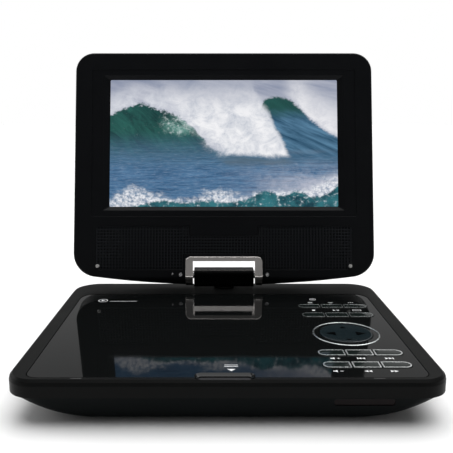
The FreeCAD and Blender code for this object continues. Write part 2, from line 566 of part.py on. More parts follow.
def drive_chassis():
    plate = box(HUB_X - 20, ROD_END + 3, HUB_Y - 22, HUB_Y + 22, PLATE_LOW, PLATE_HIGH)
    wing = box(MOTOR_X - 5.5, GEAR_X + 7, GEAR_Y - 10.6, HUB_Y - 21, PLATE_LOW, PLATE_HIGH)
    plate = joined([plate, wing])
    plate = minus(plate, box(HUB_X + 13, ROD_END - 2, ROD_FRONT + 3, ROD_REAR - 3,
                             PLATE_LOW - 1, PLATE_HIGH + 1))
    plate = minus(plate, rod_z(HUB_X, HUB_Y, PLATE_LOW - 1, PLATE_HIGH + 1, 5.0))
    plate = minus(plate, rod_z(GEAR_X, GEAR_Y, PLATE_LOW - 1, PLATE_HIGH + 1, RACK_R + 0.9),
                  rod_z(MOTOR_X, MOTOR_Y, PLATE_LOW - 1, PLATE_HIGH + 1, 1.6))
    blocks = []
    for y in (ROD_FRONT, ROD_REAR):
        for x in (ROD_START, ROD_END):
            blocks.append(minus(box(x - 2, x + 2, y - 2.4, y + 2.4, ROD_Z - 2.2, PLATE_LOW),
                                rod_x(x - 3, x + 3, y, ROD_Z, ROD_R)))
    # A small shelf hangs under the plate and carries the sled gear's post.
    leg = box(GEAR_X - 3, GEAR_X + 3, GEAR_Y - 6.4, GEAR_Y - 5.0, SHELF_LOW, PLATE_LOW)
    shelf = box(GEAR_X - 3, GEAR_X + 3, GEAR_Y - 6.4, GEAR_Y + 2.2, SHELF_LOW, SHELF_LOW + 0.9)
    post = rod_z(GEAR_X, GEAR_Y, SHELF_LOW, WHEEL_HIGH + 0.2, POST_R)
    save("drive_chassis", joined([plate] + blocks + [leg, shelf, post]))


def spindle_motor():
    can = rod_z(HUB_X, HUB_Y, FLOOR + WALL + 0.4, PLATE_LOW - 0.6, 11.0)
    collar = rod_z(HUB_X, HUB_Y, PLATE_LOW - 0.6, PLATE_LOW, 7.0)
    bore = rod_z(HUB_X, HUB_Y, FLOOR + WALL + 1.4, TOP, POST_R + RUNNING_GAP)
    save("spindle_motor", minus(joined([can, collar]), bore))


def disc_hub():
    plate = rod_z(HUB_X, HUB_Y, TOP - 8.0, TOP - 6.6, 13.0)
    skirt = rod_z(HUB_X, HUB_Y, TOP - 10.6, TOP - 8.0, 4.2)
    boss = rod_z(HUB_X, HUB_Y, TOP - 6.6, TOP - 4.4, DISC_BORE_R - 0.15)
    boss = boss.makeFillet(1.2, [e for e in boss.Edges if e.BoundBox.ZMin > TOP - 4.5])
    shaft = rod_z(HUB_X, HUB_Y, FLOOR + WALL + 1.8, TOP - 8.0, POST_R)
    save("disc_hub", joined([plate, skirt, boss, shaft]))


def guide_rods():
    bars = [rod_x(ROD_START - 2, ROD_END + 2, y, ROD_Z, ROD_R) for y in (ROD_FRONT, ROD_REAR)]
    save("guide_rods", *bars)


def rack_profile():
    """Straight-sided rack teeth that point to -Y, over the length of the rack."""
    pitch = math.pi * GEAR_MODULE
    slope = math.tan(math.radians(20))
    half = pitch / 4 - BACKLASH / 2
    tip, root = 0.9 * GEAR_MODULE, 1.25 * GEAR_MODULE
    back = ROD_FRONT - 3.0
    first = GEAR_X - RACK_LEAD_TEETH * pitch
    points = [(first - pitch / 2, back), (first - pitch / 2, RACK_PITCH_Y + root)]
    for i in range(RACK_TEETH):
        middle = first + i * pitch
        points.append((middle - half - root * slope, RACK_PITCH_Y + root))
        points.append((middle - half + tip * slope, RACK_PITCH_Y - tip))
        points.append((middle + half - tip * slope, RACK_PITCH_Y - tip))
        points.append((middle + half + root * slope, RACK_PITCH_Y + root))
    last = first + (RACK_TEETH - 0.5) * pitch
    points += [(last, RACK_PITCH_Y + root), (last, back)]
    return points


def optical_pickup():
    left, right = LENS_X - 9.0, LENS_X + 19.0
    body = box(left, right, ROD_FRONT - 3.2, ROD_REAR + 3.2, ROD_Z - 2.6, PLATE_LOW - 0.4)
    tower = slab(left + 0.5, LENS_X + 9.0, HUB_Y - 9.5, HUB_Y + 9.5, PLATE_LOW - 1.0, TOP - 9.3, 2.0, 2.0)
    body = joined([body, tower])
    body = minus(body, rod_x(left - 1, right + 1, ROD_FRONT, ROD_Z, ROD_R + RUNNING_GAP),
                 box(left - 1, right + 1, ROD_REAR, ROD_REAR + 5, ROD_Z - ROD_R - 0.4, ROD_Z + ROD_R + 0.4),
                 rod_x(left - 1, right + 1, ROD_REAR, ROD_Z, ROD_R + 0.4))
    body = minus(body, rod_z(LENS_X, HUB_Y, ROD_Z, TOP, 5.2))
    teeth = rack_profile()
    rack = prism([V(x, y, RACK_LOW) for x, y in teeth], V(0, 0, RACK_HIGH - RACK_LOW))
    save("optical_pickup", joined([body, rack]))


def objective_lens():
    holder = rod_z(LENS_X, HUB_Y, TOP - 12.0, TOP - 9.0, 4.4)
    lens = Part.makeSphere(5.0)
    lens.translate(V(LENS_X, HUB_Y, TOP - 8.4 - 5.0))
    lens = lens.common(rod_z(LENS_X, HUB_Y, TOP - 9.6, TOP - 8.0, 2.6))
    save("objective_lens", joined([holder, lens]))


def involute_gear(teeth, z0, z1, phase):
    """A spur gear with involute flanks. A tooth points along +X, turned on by the phase, at the origin."""
    pitch_r = GEAR_MODULE * teeth / 2
    pressure = math.radians(20)
    base_r = pitch_r * math.cos(pressure)
    tip_r, root_r = pitch_r + 0.9 * GEAR_MODULE, pitch_r - 1.2 * GEAR_MODULE
    start_r = max(base_r, root_r)
    thick = math.pi / (2 * teeth) - BACKLASH / (2 * pitch_r)
    lead = math.tan(pressure) - pressure
    steps = 5
    flank = []
    for i in range(steps):
        r = start_r + (tip_r - start_r) * i / (steps - 1)
        roll = math.acos(min(1.0, base_r / r))
        flank.append((r, thick + lead - (math.tan(roll) - roll)))
    points = []
    for i in range(teeth):
        middle = phase + 2 * math.pi * i / teeth
        side = [(root_r, flank[0][1])] + flank if root_r < start_r - 0.01 else flank
        for r, half in side:
            points.append(V(r * math.cos(middle - half), r * math.sin(middle - half), z0))
        for r, half in reversed(side):
            points.append(V(r * math.cos(middle + half), r * math.sin(middle + half), z0))
    return prism(points, V(0, 0, z1 - z0))


def at(shape, x, y):
    shape.translate(V(x, y, 0))
    return shape


def sled_gear():
    # A gap of the small gear faces the rack, where the rack has a tooth on the gear's centre line.
    gap_up = math.pi / 2 + math.pi / RACK_PINION_TEETH
    small = at(involute_gear(RACK_PINION_TEETH, RACK_LOW - 0.5, WHEEL_LOW + 0.1, gap_up), GEAR_X, GEAR_Y)
    wheel = at(involute_gear(WHEEL_TEETH, WHEEL_LOW, WHEEL_HIGH, MOTOR_BEARING), GEAR_X, GEAR_Y)
    bore = rod_z(GEAR_X, GEAR_Y, 0, TOP, POST_R + RUNNING_GAP)
    save("sled_gear", minus(joined([small, wheel]), bore))


def sled_motor():
    shaft_r = 0.6
    can = rod_z(MOTOR_X, MOTOR_Y, FLOOR + WALL + 0.2, PLATE_LOW, 4.6)
    bore = rod_z(MOTOR_X, MOTOR_Y, FLOOR + WALL + 1.0, TOP, shaft_r + RUNNING_GAP)
    save("sled_motor", minus(can, bore))
    # A gap of the pinion faces the wheel's tooth that points at it.
    gap_facing = MOTOR_BEARING + math.pi + math.pi / MOTOR_TEETH
    pinion = at(involute_gear(MOTOR_TEETH, WHEEL_LOW, WHEEL_HIGH, gap_facing), MOTOR_X, MOTOR_Y)
    shaft = rod_z(MOTOR_X, MOTOR_Y, FLOOR + WALL + 1.4, WHEEL_HIGH, shaft_r)
    save("motor_pinion", joined([pinion, shaft]))


# ---- swivel and hinge block ----
BLOCK_HALF, BLOCK_HALF_DEEP, BLOCK_HIGH, BLOCK_LOW = 20.0, 6.5, 3.9, 7.2
SHAFT_START, SHAFT_END = 10.0, 36.0


def swivel():
    neck = rod_z(0, AXIS_Y, TOP + 0.35, AXIS_Z - BLOCK_LOW, SWIVEL_NECK_R)
    shaft = rod_z(0, AXIS_Y, TOP - 4.6, TOP + 0.5, SWIVEL_SHAFT_R)
    save("swivel_disc", joined([neck, shaft]))
    ring = minus(rod_z(0, AXIS_Y, TOP - 4.4, TOP - TOP_PLATE - 0.35, RETAINER_R),
                 rod_z(0, AXIS_Y, 0, TOP, SWIVEL_SHAFT_R))
    save("swivel_retainer", ring)


def hinge_block():
    block = box(-BLOCK_HALF, BLOCK_HALF, AXIS_Y - BLOCK_HALF_DEEP, AXIS_Y + BLOCK_HALF_DEEP,
                AXIS_Z - BLOCK_LOW, AXIS_Z + BLOCK_HIGH)
    long_edges = [e for e in block.Edges if e.BoundBox.XLength > 30 and e.BoundBox.ZMin > AXIS_Z]
    block = block.makeFillet(2.0, long_edges)
    underside = AXIS_Z - BLOCK_LOW + 0.1
    low_edges = [e for e in block.Edges if e.BoundBox.XLength > 30 and e.BoundBox.ZMax < underside]
    block = block.makeFillet(2.4, low_edges)
    for side in (-1, 1):
        x0, x1 = sorted((side * SHAFT_START, side * (BLOCK_HALF + 1)))
        block = minus(block, rod_x(x0, x1, AXIS_Y, AXIS_Z, SHAFT_R))
    save("hinge_block", block)
    shaft = rod_x(SHAFT_START, SHAFT_END, AXIS_Y, AXIS_Z, SHAFT_R)
    save("tilt_shafts", shaft, mirrored(shaft))


# ---- lid, drawn upright about its axis and then leaned back ----
def lid_outline():
    """The lid seen from the front, upright: round corners and a slightly bowed bottom edge, all tangent."""
    half, top = LID_HALF_WIDTH, LID_TOP
    tr, br = LID_TOP_CORNER_R, LID_BOTTOM_CORNER_R
    bow_z = LID_BOW - LID_BOTTOM
    corner_x = half - br
    corner_z = bow_z - math.sqrt((LID_BOW - br) ** 2 - corner_x ** 2)
    bearing = math.atan2(corner_x, bow_z - corner_z)
    foot = (LID_BOW * math.sin(bearing), bow_z - LID_BOW * math.cos(bearing))
    middle_bearing = (bearing + math.pi / 2) / 2
    low_mid = (corner_x + br * math.sin(middle_bearing), corner_z - br * math.cos(middle_bearing))
    c = math.sqrt(0.5)
    high_mid = (half - tr * (1 - c), top - tr * (1 - c))
    right = [foot, low_mid, (half, corner_z), (half, top - tr), high_mid, (half - tr, top)]
    r = [V(x, 0, z) for x, z in right]
    l = [V(-x, 0, z) for x, z in right]
    edges = [
        Part.Arc(l[0], V(0, 0, -LID_BOTTOM), r[0]).toShape(),
        Part.Arc(r[0], r[1], r[2]).toShape(),
        Part.makeLine(r[2], r[3]),
        Part.Arc(r[3], r[4], r[5]).toShape(),
        Part.makeLine(r[5], l[5]),
        Part.Arc(l[5], l[4], l[3]).toShape(),
        Part.makeLine(l[3], l[2]),
        Part.Arc(l[2], l[1], l[0]).toShape(),
    ]
    return Part.Wire(edges)


def lid_solid():
    """The whole lid's outside: the outline through the thickness, with a round hinge end."""
    body = Part.Face(lid_outline()).extrude(V(0, LID_THICKNESS, 0))
    body.translate(V(0, -HALF, 0))
    body = body.makeFillet(LID_BACK_EDGE_R, [e for e in body.Edges if e.BoundBox.YMin > HALF - 0.01])
    body = body.makeFillet(LID_FRONT_EDGE_R, [e for e in body.Edges if e.BoundBox.YMax < -HALF + 0.01])
    block = box(-LID_HALF_WIDTH - 1, LID_HALF_WIDTH + 1, -HALF - 1, HALF + 1, -LID_BOTTOM - 1, 0)
    return minus(body, minus(block, lid_end(0.0, 4.0)))


def lid_end(grow, high):
    """The rounded hinge end of the lid, grown by an amount and carried up to a height."""
    wide = LID_HALF_WIDTH + 1
    flat = HALF - LID_END_R
    return joined([
        box(-wide, wide, -HALF - grow, HALF + grow, -flat, high),
        box(-wide, wide, -flat, flat, -LID_BOTTOM - grow, 0),
        rod_x(-wide, wide, -flat, -flat, LID_END_R + grow),
        rod_x(-wide, wide, flat, -flat, LID_END_R + grow),
    ])


NOTCH_HALF, NOTCH_HIGH = 20.7, 8.9
TRIM_OUT, TRIM_HIGH = 25.7, 11.9
LINER = 0.7
TRIM_PROUD, TRIM_SINK = 0.3, 1.0
SKIN = 1.8
SPLIT_Y = 0.5


def notch(grow, y0, y1):
    return box(-NOTCH_HALF - grow, NOTCH_HALF + grow, y0, y1, -LID_BOTTOM - 2, NOTCH_HIGH + grow)


def lid_hollow():
    """The inside of the lid's two shells."""
    low = -1.2
    return slab_upright(-LID_HALF_WIDTH + 2.2, LID_HALF_WIDTH - 2.2, low + 5.0, LID_TOP - 2.2,
                        -HALF + SKIN, HALF - SKIN, 10.0, 10.5)


def slab_upright(x0, x1, z0, z1, y0, y1, low_r, high_r):
    """A plate with round corners that stands up, between two depths."""
    plate = slab(x0, x1, z0, z1, 0, y1 - y0, low_r, high_r)
    plate.rotate(V(0, 0, 0), V(1, 0, 0), 90)
    plate.translate(V(0, y1, 0))
    return plate


def trim_recess(y0, y1, grow):
    return slab_upright(-TRIM_OUT - grow, TRIM_OUT + grow, -LID_BOTTOM - 6, TRIM_HIGH + grow, y0, y1, 0.5, 3.5)


def bracket_pocket():
    """Room for a hinge bracket on the right; the left one is its mirror image."""
    return box(25.5, 38.6, -HALF + SKIN, HALF - SKIN, -4.4, 12.0)


GRILLE_NOTCH_HALF, GRILLE_NOTCH_HIGH = 22.7, 26.2


def grille_plate(y0, y1, shrink):
    """The grille's outline: a wide plate with its middle cut down, above the hinge."""
    plate = slab_upright(-GRILLE_HALF_WIDTH + shrink, GRILLE_HALF_WIDTH - shrink, GRILLE_LOW + shrink,
                         GRILLE_HIGH - shrink, y0, y1, 4.0, 3.0)
    return minus(plate, box(-GRILLE_NOTCH_HALF - shrink, GRILLE_NOTCH_HALF + shrink, y0 - 1, y1 + 1,
                            GRILLE_NOTCH_HIGH - shrink, GRILLE_HIGH + 1),
                 trim_recess(y0 - 1, y1 + 1, 1.6 + shrink))


def screen_opening(grow, y0, y1):
    half_w, half_h = LCD_WIDTH / 2 + grow, LCD_HEIGHT / 2 + grow
    return slab_upright(-half_w, half_w, LCD_CENTRE_UP - half_h, LCD_CENTRE_UP + half_h, y0, y1, 0.6, 0.6)


SCREEN_SINK = 2.4


def lid_bezel():
    solid = lid_solid()
    shell = minus(solid, lid_hollow(), bracket_pocket(), mirrored(bracket_pocket()))
    front = shell.common(box(-110, 110, -HALF - 1, SPLIT_Y, -20, 160))
    land = slab_upright(-84.4, 84.4, LCD_CENTRE_UP - 49.0, LCD_CENTRE_UP + 49.0,
                        -HALF + 1.0, -HALF + SCREEN_SINK, 3.0, 3.0)
    front = joined([front, land])
    bevel = Part.makeLoft([screen_opening_wire(0.1, -HALF + SCREEN_SINK + 0.1),
                           screen_opening_wire(5.0, -HALF - 0.1)], True, True)
    front = minus(front, bevel)
    front = minus(front, slab_upright(-FRAME_HALF_WIDTH, FRAME_HALF_WIDTH, FRAME_LOW, FRAME_HIGH,
                                      -HALF - 1, -HALF + FRAME_SINK, 1.0, 1.0))
    front = minus(front, notch(LINER, -HALF - 1, SPLIT_Y + 1), trim_zone(0.0))
    front = minus(front, grille_plate(-HALF - 1, -HALF + 0.8, 0.0))
    front = minus(front, grille_plate(-HALF - 1, -HALF + SKIN + 1, 2.0))
    for side in (-1, 1):
        front = minus(front, rod_y(side * LID_SCREW_X, -HALF - 1, -HALF + 1.1, 0.0, LID_SCREW_HEAD_R + 0.05))
        front = minus(front, rod_y(side * LID_SCREW_X, -HALF - 1, -HALF + SKIN + 1, 0.0,
                                   LID_SCREW_SHANK_R + 0.05))
        front = minus(front, rod_y(side * BUMPER_X, -HALF - 1, -HALF + 0.8, BUMPER_UP, BUMPER_R + 0.05))
        x0, x1 = sorted((side * 20, side * 26.5))
        front = minus(front, rod_x(x0, x1, 0, 0, SHAFT_R + 0.4))
    save("lid_bezel", on_lid(front))


def screen_opening_wire(grow, y):
    half_w, half_h = LCD_WIDTH / 2 + grow * 1.1, LCD_HEIGHT / 2 + grow * 0.7
    wire = rounded_wire(-half_w, half_w, LCD_CENTRE_UP - half_h, LCD_CENTRE_UP + half_h, 0.8, 0.8, -y)
    wire.rotate(V(0, 0, 0), V(1, 0, 0), 90)
    return wire


def lid_back_cover():
    solid = lid_solid()
    shell = minus(solid, lid_hollow(), bracket_pocket(), mirrored(bracket_pocket()))
    back = shell.common(box(-110, 110, SPLIT_Y, HALF + 1, -20, 160))
    back = minus(back, notch(LINER, SPLIT_Y - 1, HALF + 1))
    for side in (-1, 1):
        x0, x1 = sorted((side * 20, side * 26.5))
        back = minus(back, rod_x(x0, x1, 0, 0, SHAFT_R + 0.4))
    save("lid_back_cover", on_lid(back))


def speaker_grille():
    plate = grille_plate(-HALF + 0.1, -HALF + 0.8, 0.15)
    ribs = grille_plate(-HALF + 0.8, -HALF + SKIN, 2.0)
    plate = joined([plate, ribs])
    pitch, half_hole = 2.05, 0.6
    holes = []
    for side in (-1, 1):
        for i in range(-4, 5):
            for k in range(-4, 5):
                if math.hypot(i, k) * pitch < SPEAKER_R - 0.8:
                    x, z = side * SPEAKER_X + i * pitch, SPEAKER_UP + k * pitch
                    holes.append(box(x - half_hole, x + half_hole, -HALF - 1, -HALF + SKIN + 1,
                                     z - half_hole, z + half_hole))
    for side in (-1, 1):
        holes.append(rod_y(side * BUMPER_X, -HALF - 1, HALF, BUMPER_UP, BUMPER_R + 0.05))
    save("speaker_grille", on_lid(minus(plate, *holes)))


def lcd():
    glass = slab_upright(-LCD_WIDTH / 2 - 1.0, LCD_WIDTH / 2 + 1.0, LCD_CENTRE_UP - LCD_HEIGHT / 2 - 1.0,
                         LCD_CENTRE_UP + LCD_HEIGHT / 2 + 1.0,
                         -HALF + SCREEN_SINK, -HALF + SCREEN_SINK + 1.2, 0.5, 0.5)
    save("lcd_glass", on_lid(glass))
    can = slab_upright(-82.0, 82.0, LCD_CENTRE_UP - 47.5, LCD_CENTRE_UP + 47.5,
                       -HALF + SCREEN_SINK, 1.2, 1.0, 1.0)
    save("lcd_frame", on_lid(minus(can, glass)))
    board = box(-40.0, 30.0, 2.0, 3.2, 55.0, 100.0)
    chips = [box(-30.0, -16.0, 3.2, 4.6, 70.0, 84.0), box(4.0, 14.0, 3.2, 4.4, 62.0, 80.0),
             box(-36.0, -28.0, 1.2, 2.0, 88.0, 96.0)]
    save("lcd_driver_board", on_lid(joined([board] + chips)))


def speakers():
    back = -HALF + SKIN
    for side, node in ((-1, "speaker_left"), (1, "speaker_right")):
        x = side * SPEAKER_X
        ring = rod_y(x, back, back + 1.6, SPEAKER_UP, 11.0)
        basket = Part.makeCone(10.4, 7.0, 2.6, V(x, back + 1.6, SPEAKER_UP), V(0, 1, 0))
        magnet = rod_y(x, back + 4.2, back + 7.6, SPEAKER_UP, 6.0)
        hollow = Part.makeCone(9.4, 3.0, 3.4, V(x, back - 0.01, SPEAKER_UP), V(0, 1, 0))
        dome = Part.makeSphere(4.0)
        dome.translate(V(x, back + 4.4, SPEAKER_UP))
        dome = dome.common(rod_y(x, back + 2.0, back + 5.0, SPEAKER_UP, 3.4))
        save(node, on_lid(joined([minus(joined([ring, basket, magnet]), hollow), dome])))


def trim_zone(grow):
    """The U-shaped strip round the notch, on the lid's front: a layer that follows the round hinge end."""
    layer = minus(lid_end(TRIM_PROUD, 40.0), lid_end(-TRIM_SINK, 41.0), box(-110, 110, 0, 20, -20, 60))
    return trim_recess(-HALF - 1, 0, grow).common(layer)


def chrome_trim():
    liner = slab_upright(-NOTCH_HALF - LINER + 0.05, NOTCH_HALF + LINER - 0.05, -LID_BOTTOM - 6,
                         NOTCH_HIGH + LINER - 0.05, -HALF - TRIM_PROUD, HALF - 0.2, 0.3, 0.6)
    liner = liner.common(lid_end(-0.1, 40.0))
    trim = minus(joined([trim_zone(-0.05), liner]), notch(0.0, -HALF - 2, HALF + 2))
    for side in (-1, 1):
        x0, x1 = sorted((side * 20, side * 26))
        trim = minus(trim, rod_x(x0, x1, 0, 0, SHAFT_R + 0.4))
    save("chrome_trim", on_lid(trim))


def small_lid_parts():
    bumpers, screws, brackets = [], [], []
    for side in (-1, 1):
        bumper = rod_y(side * BUMPER_X, -HALF - 1.0, -HALF + 0.8, BUMPER_UP, BUMPER_R)
        bumpers.append(bumper.makeFillet(0.5, [e for e in bumper.Edges if e.BoundBox.YMax < -HALF - 0.9]))
        head = rod_y(side * LID_SCREW_X, -HALF + 0.1, -HALF + 1.1, 0.0, LID_SCREW_HEAD_R)
        shank = rod_y(side * LID_SCREW_X, -HALF + 1.0, -3.6, 0.0, LID_SCREW_SHANK_R)
        screws.append(joined([head, shank]))
        x0, x1 = sorted((side * 27.0, side * 38.0))
        eye = box(x0, x1, -HALF + SKIN, HALF - SKIN - 0.6, -4.2, 11.6)
        eye = minus(eye, rod_x(x0 - 1, x1 + 1, 0, 0, SHAFT_R + RUNNING_GAP), shank)
        brackets.append(eye)
    save("lid_bumpers", *[on_lid(s) for s in bumpers])
    save("lid_screws", *[on_lid(s) for s in screws])
    save("lid_hinge_brackets", *[on_lid(s) for s in brackets])


bottom_case()
top_case()
remote_window()
feet()
battery()
boards()
jack("headphone_jack", HEADPHONE_Y, 1.8, JACK_COLLAR_R, 13.0, 0.0)
jack("av_jack", AV_Y, 1.8, JACK_COLLAR_R, 13.0, 0.0)
jack("dc_inlet", DC_Y, 2.8, DC_COLLAR_R, 11.0, 0.85)
power_switch()
latch_catch()
case_screws()
door_panel()
door_frame()
door_pins()
key_board()
keys()
nav_pad()
drive_chassis()
spindle_motor()
disc_hub()
guide_rods()
optical_pickup()
objective_lens()
sled_gear()
sled_motor()
swivel()
hinge_block()
lid_bezel()
lid_back_cover()
speaker_grille()
lcd()
speakers()
chrome_trim()
small_lid_parts()
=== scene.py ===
import json
import math

import bpy
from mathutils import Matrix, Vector

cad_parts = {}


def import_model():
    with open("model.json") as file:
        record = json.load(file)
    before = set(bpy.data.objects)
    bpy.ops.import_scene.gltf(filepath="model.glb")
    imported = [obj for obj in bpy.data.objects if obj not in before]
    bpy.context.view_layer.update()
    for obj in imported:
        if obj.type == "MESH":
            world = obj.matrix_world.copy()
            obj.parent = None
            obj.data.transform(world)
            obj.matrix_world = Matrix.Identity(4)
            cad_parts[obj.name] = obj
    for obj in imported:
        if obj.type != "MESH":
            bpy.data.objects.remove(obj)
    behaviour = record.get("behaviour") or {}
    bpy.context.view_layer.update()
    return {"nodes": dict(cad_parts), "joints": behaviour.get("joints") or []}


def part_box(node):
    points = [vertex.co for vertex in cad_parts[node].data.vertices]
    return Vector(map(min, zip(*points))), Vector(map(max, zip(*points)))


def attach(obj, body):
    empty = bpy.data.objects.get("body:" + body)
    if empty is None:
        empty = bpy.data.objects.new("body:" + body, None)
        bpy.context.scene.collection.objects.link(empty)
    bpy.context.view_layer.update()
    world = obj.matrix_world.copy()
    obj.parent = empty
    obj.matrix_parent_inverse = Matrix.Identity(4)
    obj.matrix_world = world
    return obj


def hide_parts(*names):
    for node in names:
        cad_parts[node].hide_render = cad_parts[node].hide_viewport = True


# A portable DVD player. Shapes are drawn in millimetres and placed in the frame's metres: on the base by
# (x, distance from the front edge, height above the top plane), on the lid by (x, height above the tilt axis
# along the lid, distance out of the lid's middle plane).

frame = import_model()

MM = 0.001
JOINTS = {joint["name"]: joint for joint in frame["joints"]}
NODES = frame["nodes"]


# ---- places from the frame ----
def box_mm(node):
    """The low and high corners of a CAD node's box, in millimetres."""
    low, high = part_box(node)
    return low / MM, high / MM


def middle_mm(node):
    """The middle of a CAD node's box, in millimetres."""
    low, high = box_mm(node)
    return (low + high) / 2


FRONT = box_mm("top_case")[0].y
TOP = box_mm("door_panel")[1].z
TILT = [value / MM for value in JOINTS["lid_tilt"]["pos_m"]]
LEAN = math.radians(-JOINTS["lid_tilt"]["range_deg"][0] - 90.0)
HALF = 7.0                                   # half the lid's thickness
HUB = middle_mm("disc_hub")
SOCKET_FACE = box_mm("headphone_jack")[1].x + 0.1
JACK_Z = middle_mm("power_slider").z         # the sockets and the switch stand at one height


def on_base(x, y, z):
    return Vector((x, FRONT + y, TOP + z)) * MM


def on_lid(x, up, out):
    lean, rise = math.sin(LEAN), math.cos(LEAN)
    return Vector((x, TILT[1] + up * lean - out * rise, TILT[2] + up * rise + out * lean)) * MM


def in_frame(x, y, z):
    return Vector((x, y, z)) * MM


# ---- meshes ----
def add_piece(name, verts, faces, place, body, material, smooth=False):
    """A mesh of points in millimetres, put in its place, with its body and material."""
    mesh = bpy.data.meshes.new(name)
    mesh.from_pydata([place(*v) for v in verts], [], faces)
    mesh.validate()
    mesh.update()
    piece = bpy.data.objects.new(name, mesh)
    bpy.context.scene.collection.objects.link(piece)
    mesh.materials.append(material)
    if smooth:
        mesh.shade_smooth()
        mesh.set_sharp_from_angle(angle=math.radians(32))
    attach(piece, body)
    return piece


def lofted(rings, closed=False):
    """Rings of equal length joined by quads, with the two ends capped unless the loft closes on itself."""
    verts = [point for ring in rings for point in ring]
    n = len(rings[0])
    faces = []
    spans = len(rings) if closed else len(rings) - 1
    for k in range(spans):
        a, b = k * n, ((k + 1) % len(rings)) * n
        for i in range(n):
            j = (i + 1) % n
            faces.append((a + i, a + j, b + j, b + i))
    if not closed:
        faces.append(tuple(reversed(range(n))))
        faces.append(tuple(range((len(rings) - 1) * n, len(rings) * n)))
    return verts, faces


def merged(*parts):
    verts, faces = [], []
    for part_verts, part_faces in parts:
        start = len(verts)
        verts += part_verts
        faces += [tuple(start + i for i in face) for face in part_faces]
    return verts, faces


def round_box(x0, x1, y0, y1, r, steps=6):
    """Corner points of a rectangle with round corners, anticlockwise; r is one radius or four."""
    radii = r if isinstance(r, (tuple, list)) else (r, r, r, r)
    middles = ((x0, y0, 1, 1, 180), (x1, y0, -1, 1, 270), (x1, y1, -1, -1, 0), (x0, y1, 1, -1, 90))
    points = []
    for (x, y, sx, sy, start), radius in zip(middles, radii):
        radius = max(radius, 0.001)
        for k in range(steps + 1):
            angle = math.radians(start + 90 * k / steps)
            points.append((x + radius * (sx + math.cos(angle)), y + radius * (sy + math.sin(angle))))
    return points


def disc_points(cx, cy, r, n=40):
    angles = [2 * math.pi * k / n for k in range(n)]
    return [(cx + r * math.cos(angle), cy + r * math.sin(angle)) for angle in angles]


def arc_band(cx, cy, r, line, start, end, n=16):
    """A flat arc of even width between two bearings in degrees."""
    angles = [math.radians(start + (end - start) * k / n) for k in range(n + 1)]
    outer = [(cx + r * math.cos(a), cy + r * math.sin(a)) for a in angles]
    inner = [(cx + (r - line) * math.cos(a), cy + (r - line) * math.sin(a)) for a in reversed(angles)]
    return outer + inner


def bar(cx, cy, w, h):
    x0, x1, y0, y1 = cx - w / 2, cx + w / 2, cy - h / 2, cy + h / 2
    return [(x0, y0), (x1, y0), (x1, y1), (x0, y1)]


def arrow(cx, cy, w, h, way=1):
    """A triangle that points along +X, or along -X when way is -1."""
    return [(cx - way * w / 2, cy - h / 2), (cx + way * w / 2, cy), (cx - way * w / 2, cy + h / 2)][::way]


def at_height(points, z):
    return [(x, y, z) for x, y in points]


def slab(points, z0, z1):
    return lofted([at_height(points, z0), at_height(points, z1)])


def band(outer, inner, z0, z1):
    """A flat ring between two outlines with the same number of points."""
    rings = [at_height(outer, z0), at_height(outer, z1), at_height(inner, z1), at_height(inner, z0)]
    return lofted(rings, closed=True)


def round_band(cx, cy, r_out, r_in, z0, z1, n=40):
    return band(disc_points(cx, cy, r_out, n), disc_points(cx, cy, r_in, n), z0, z1)


def soft_block(x0, x1, y0, y1, r, z0, z1, edge, steps=3):
    """A block with one corner radius, whose top edge is rounded over."""
    rings = [at_height(round_box(x0, x1, y0, y1, r), z0)]
    for k in range(steps + 1):
        turn = math.pi / 2 * k / steps
        inset = edge * (1 - math.cos(turn))
        z = z1 - edge + edge * math.sin(turn)
        inner_r = max(r - inset, 0.05)
        rings.append(at_height(round_box(x0 + inset, x1 - inset, y0 + inset, y1 - inset, inner_r), z))
    return lofted(rings)


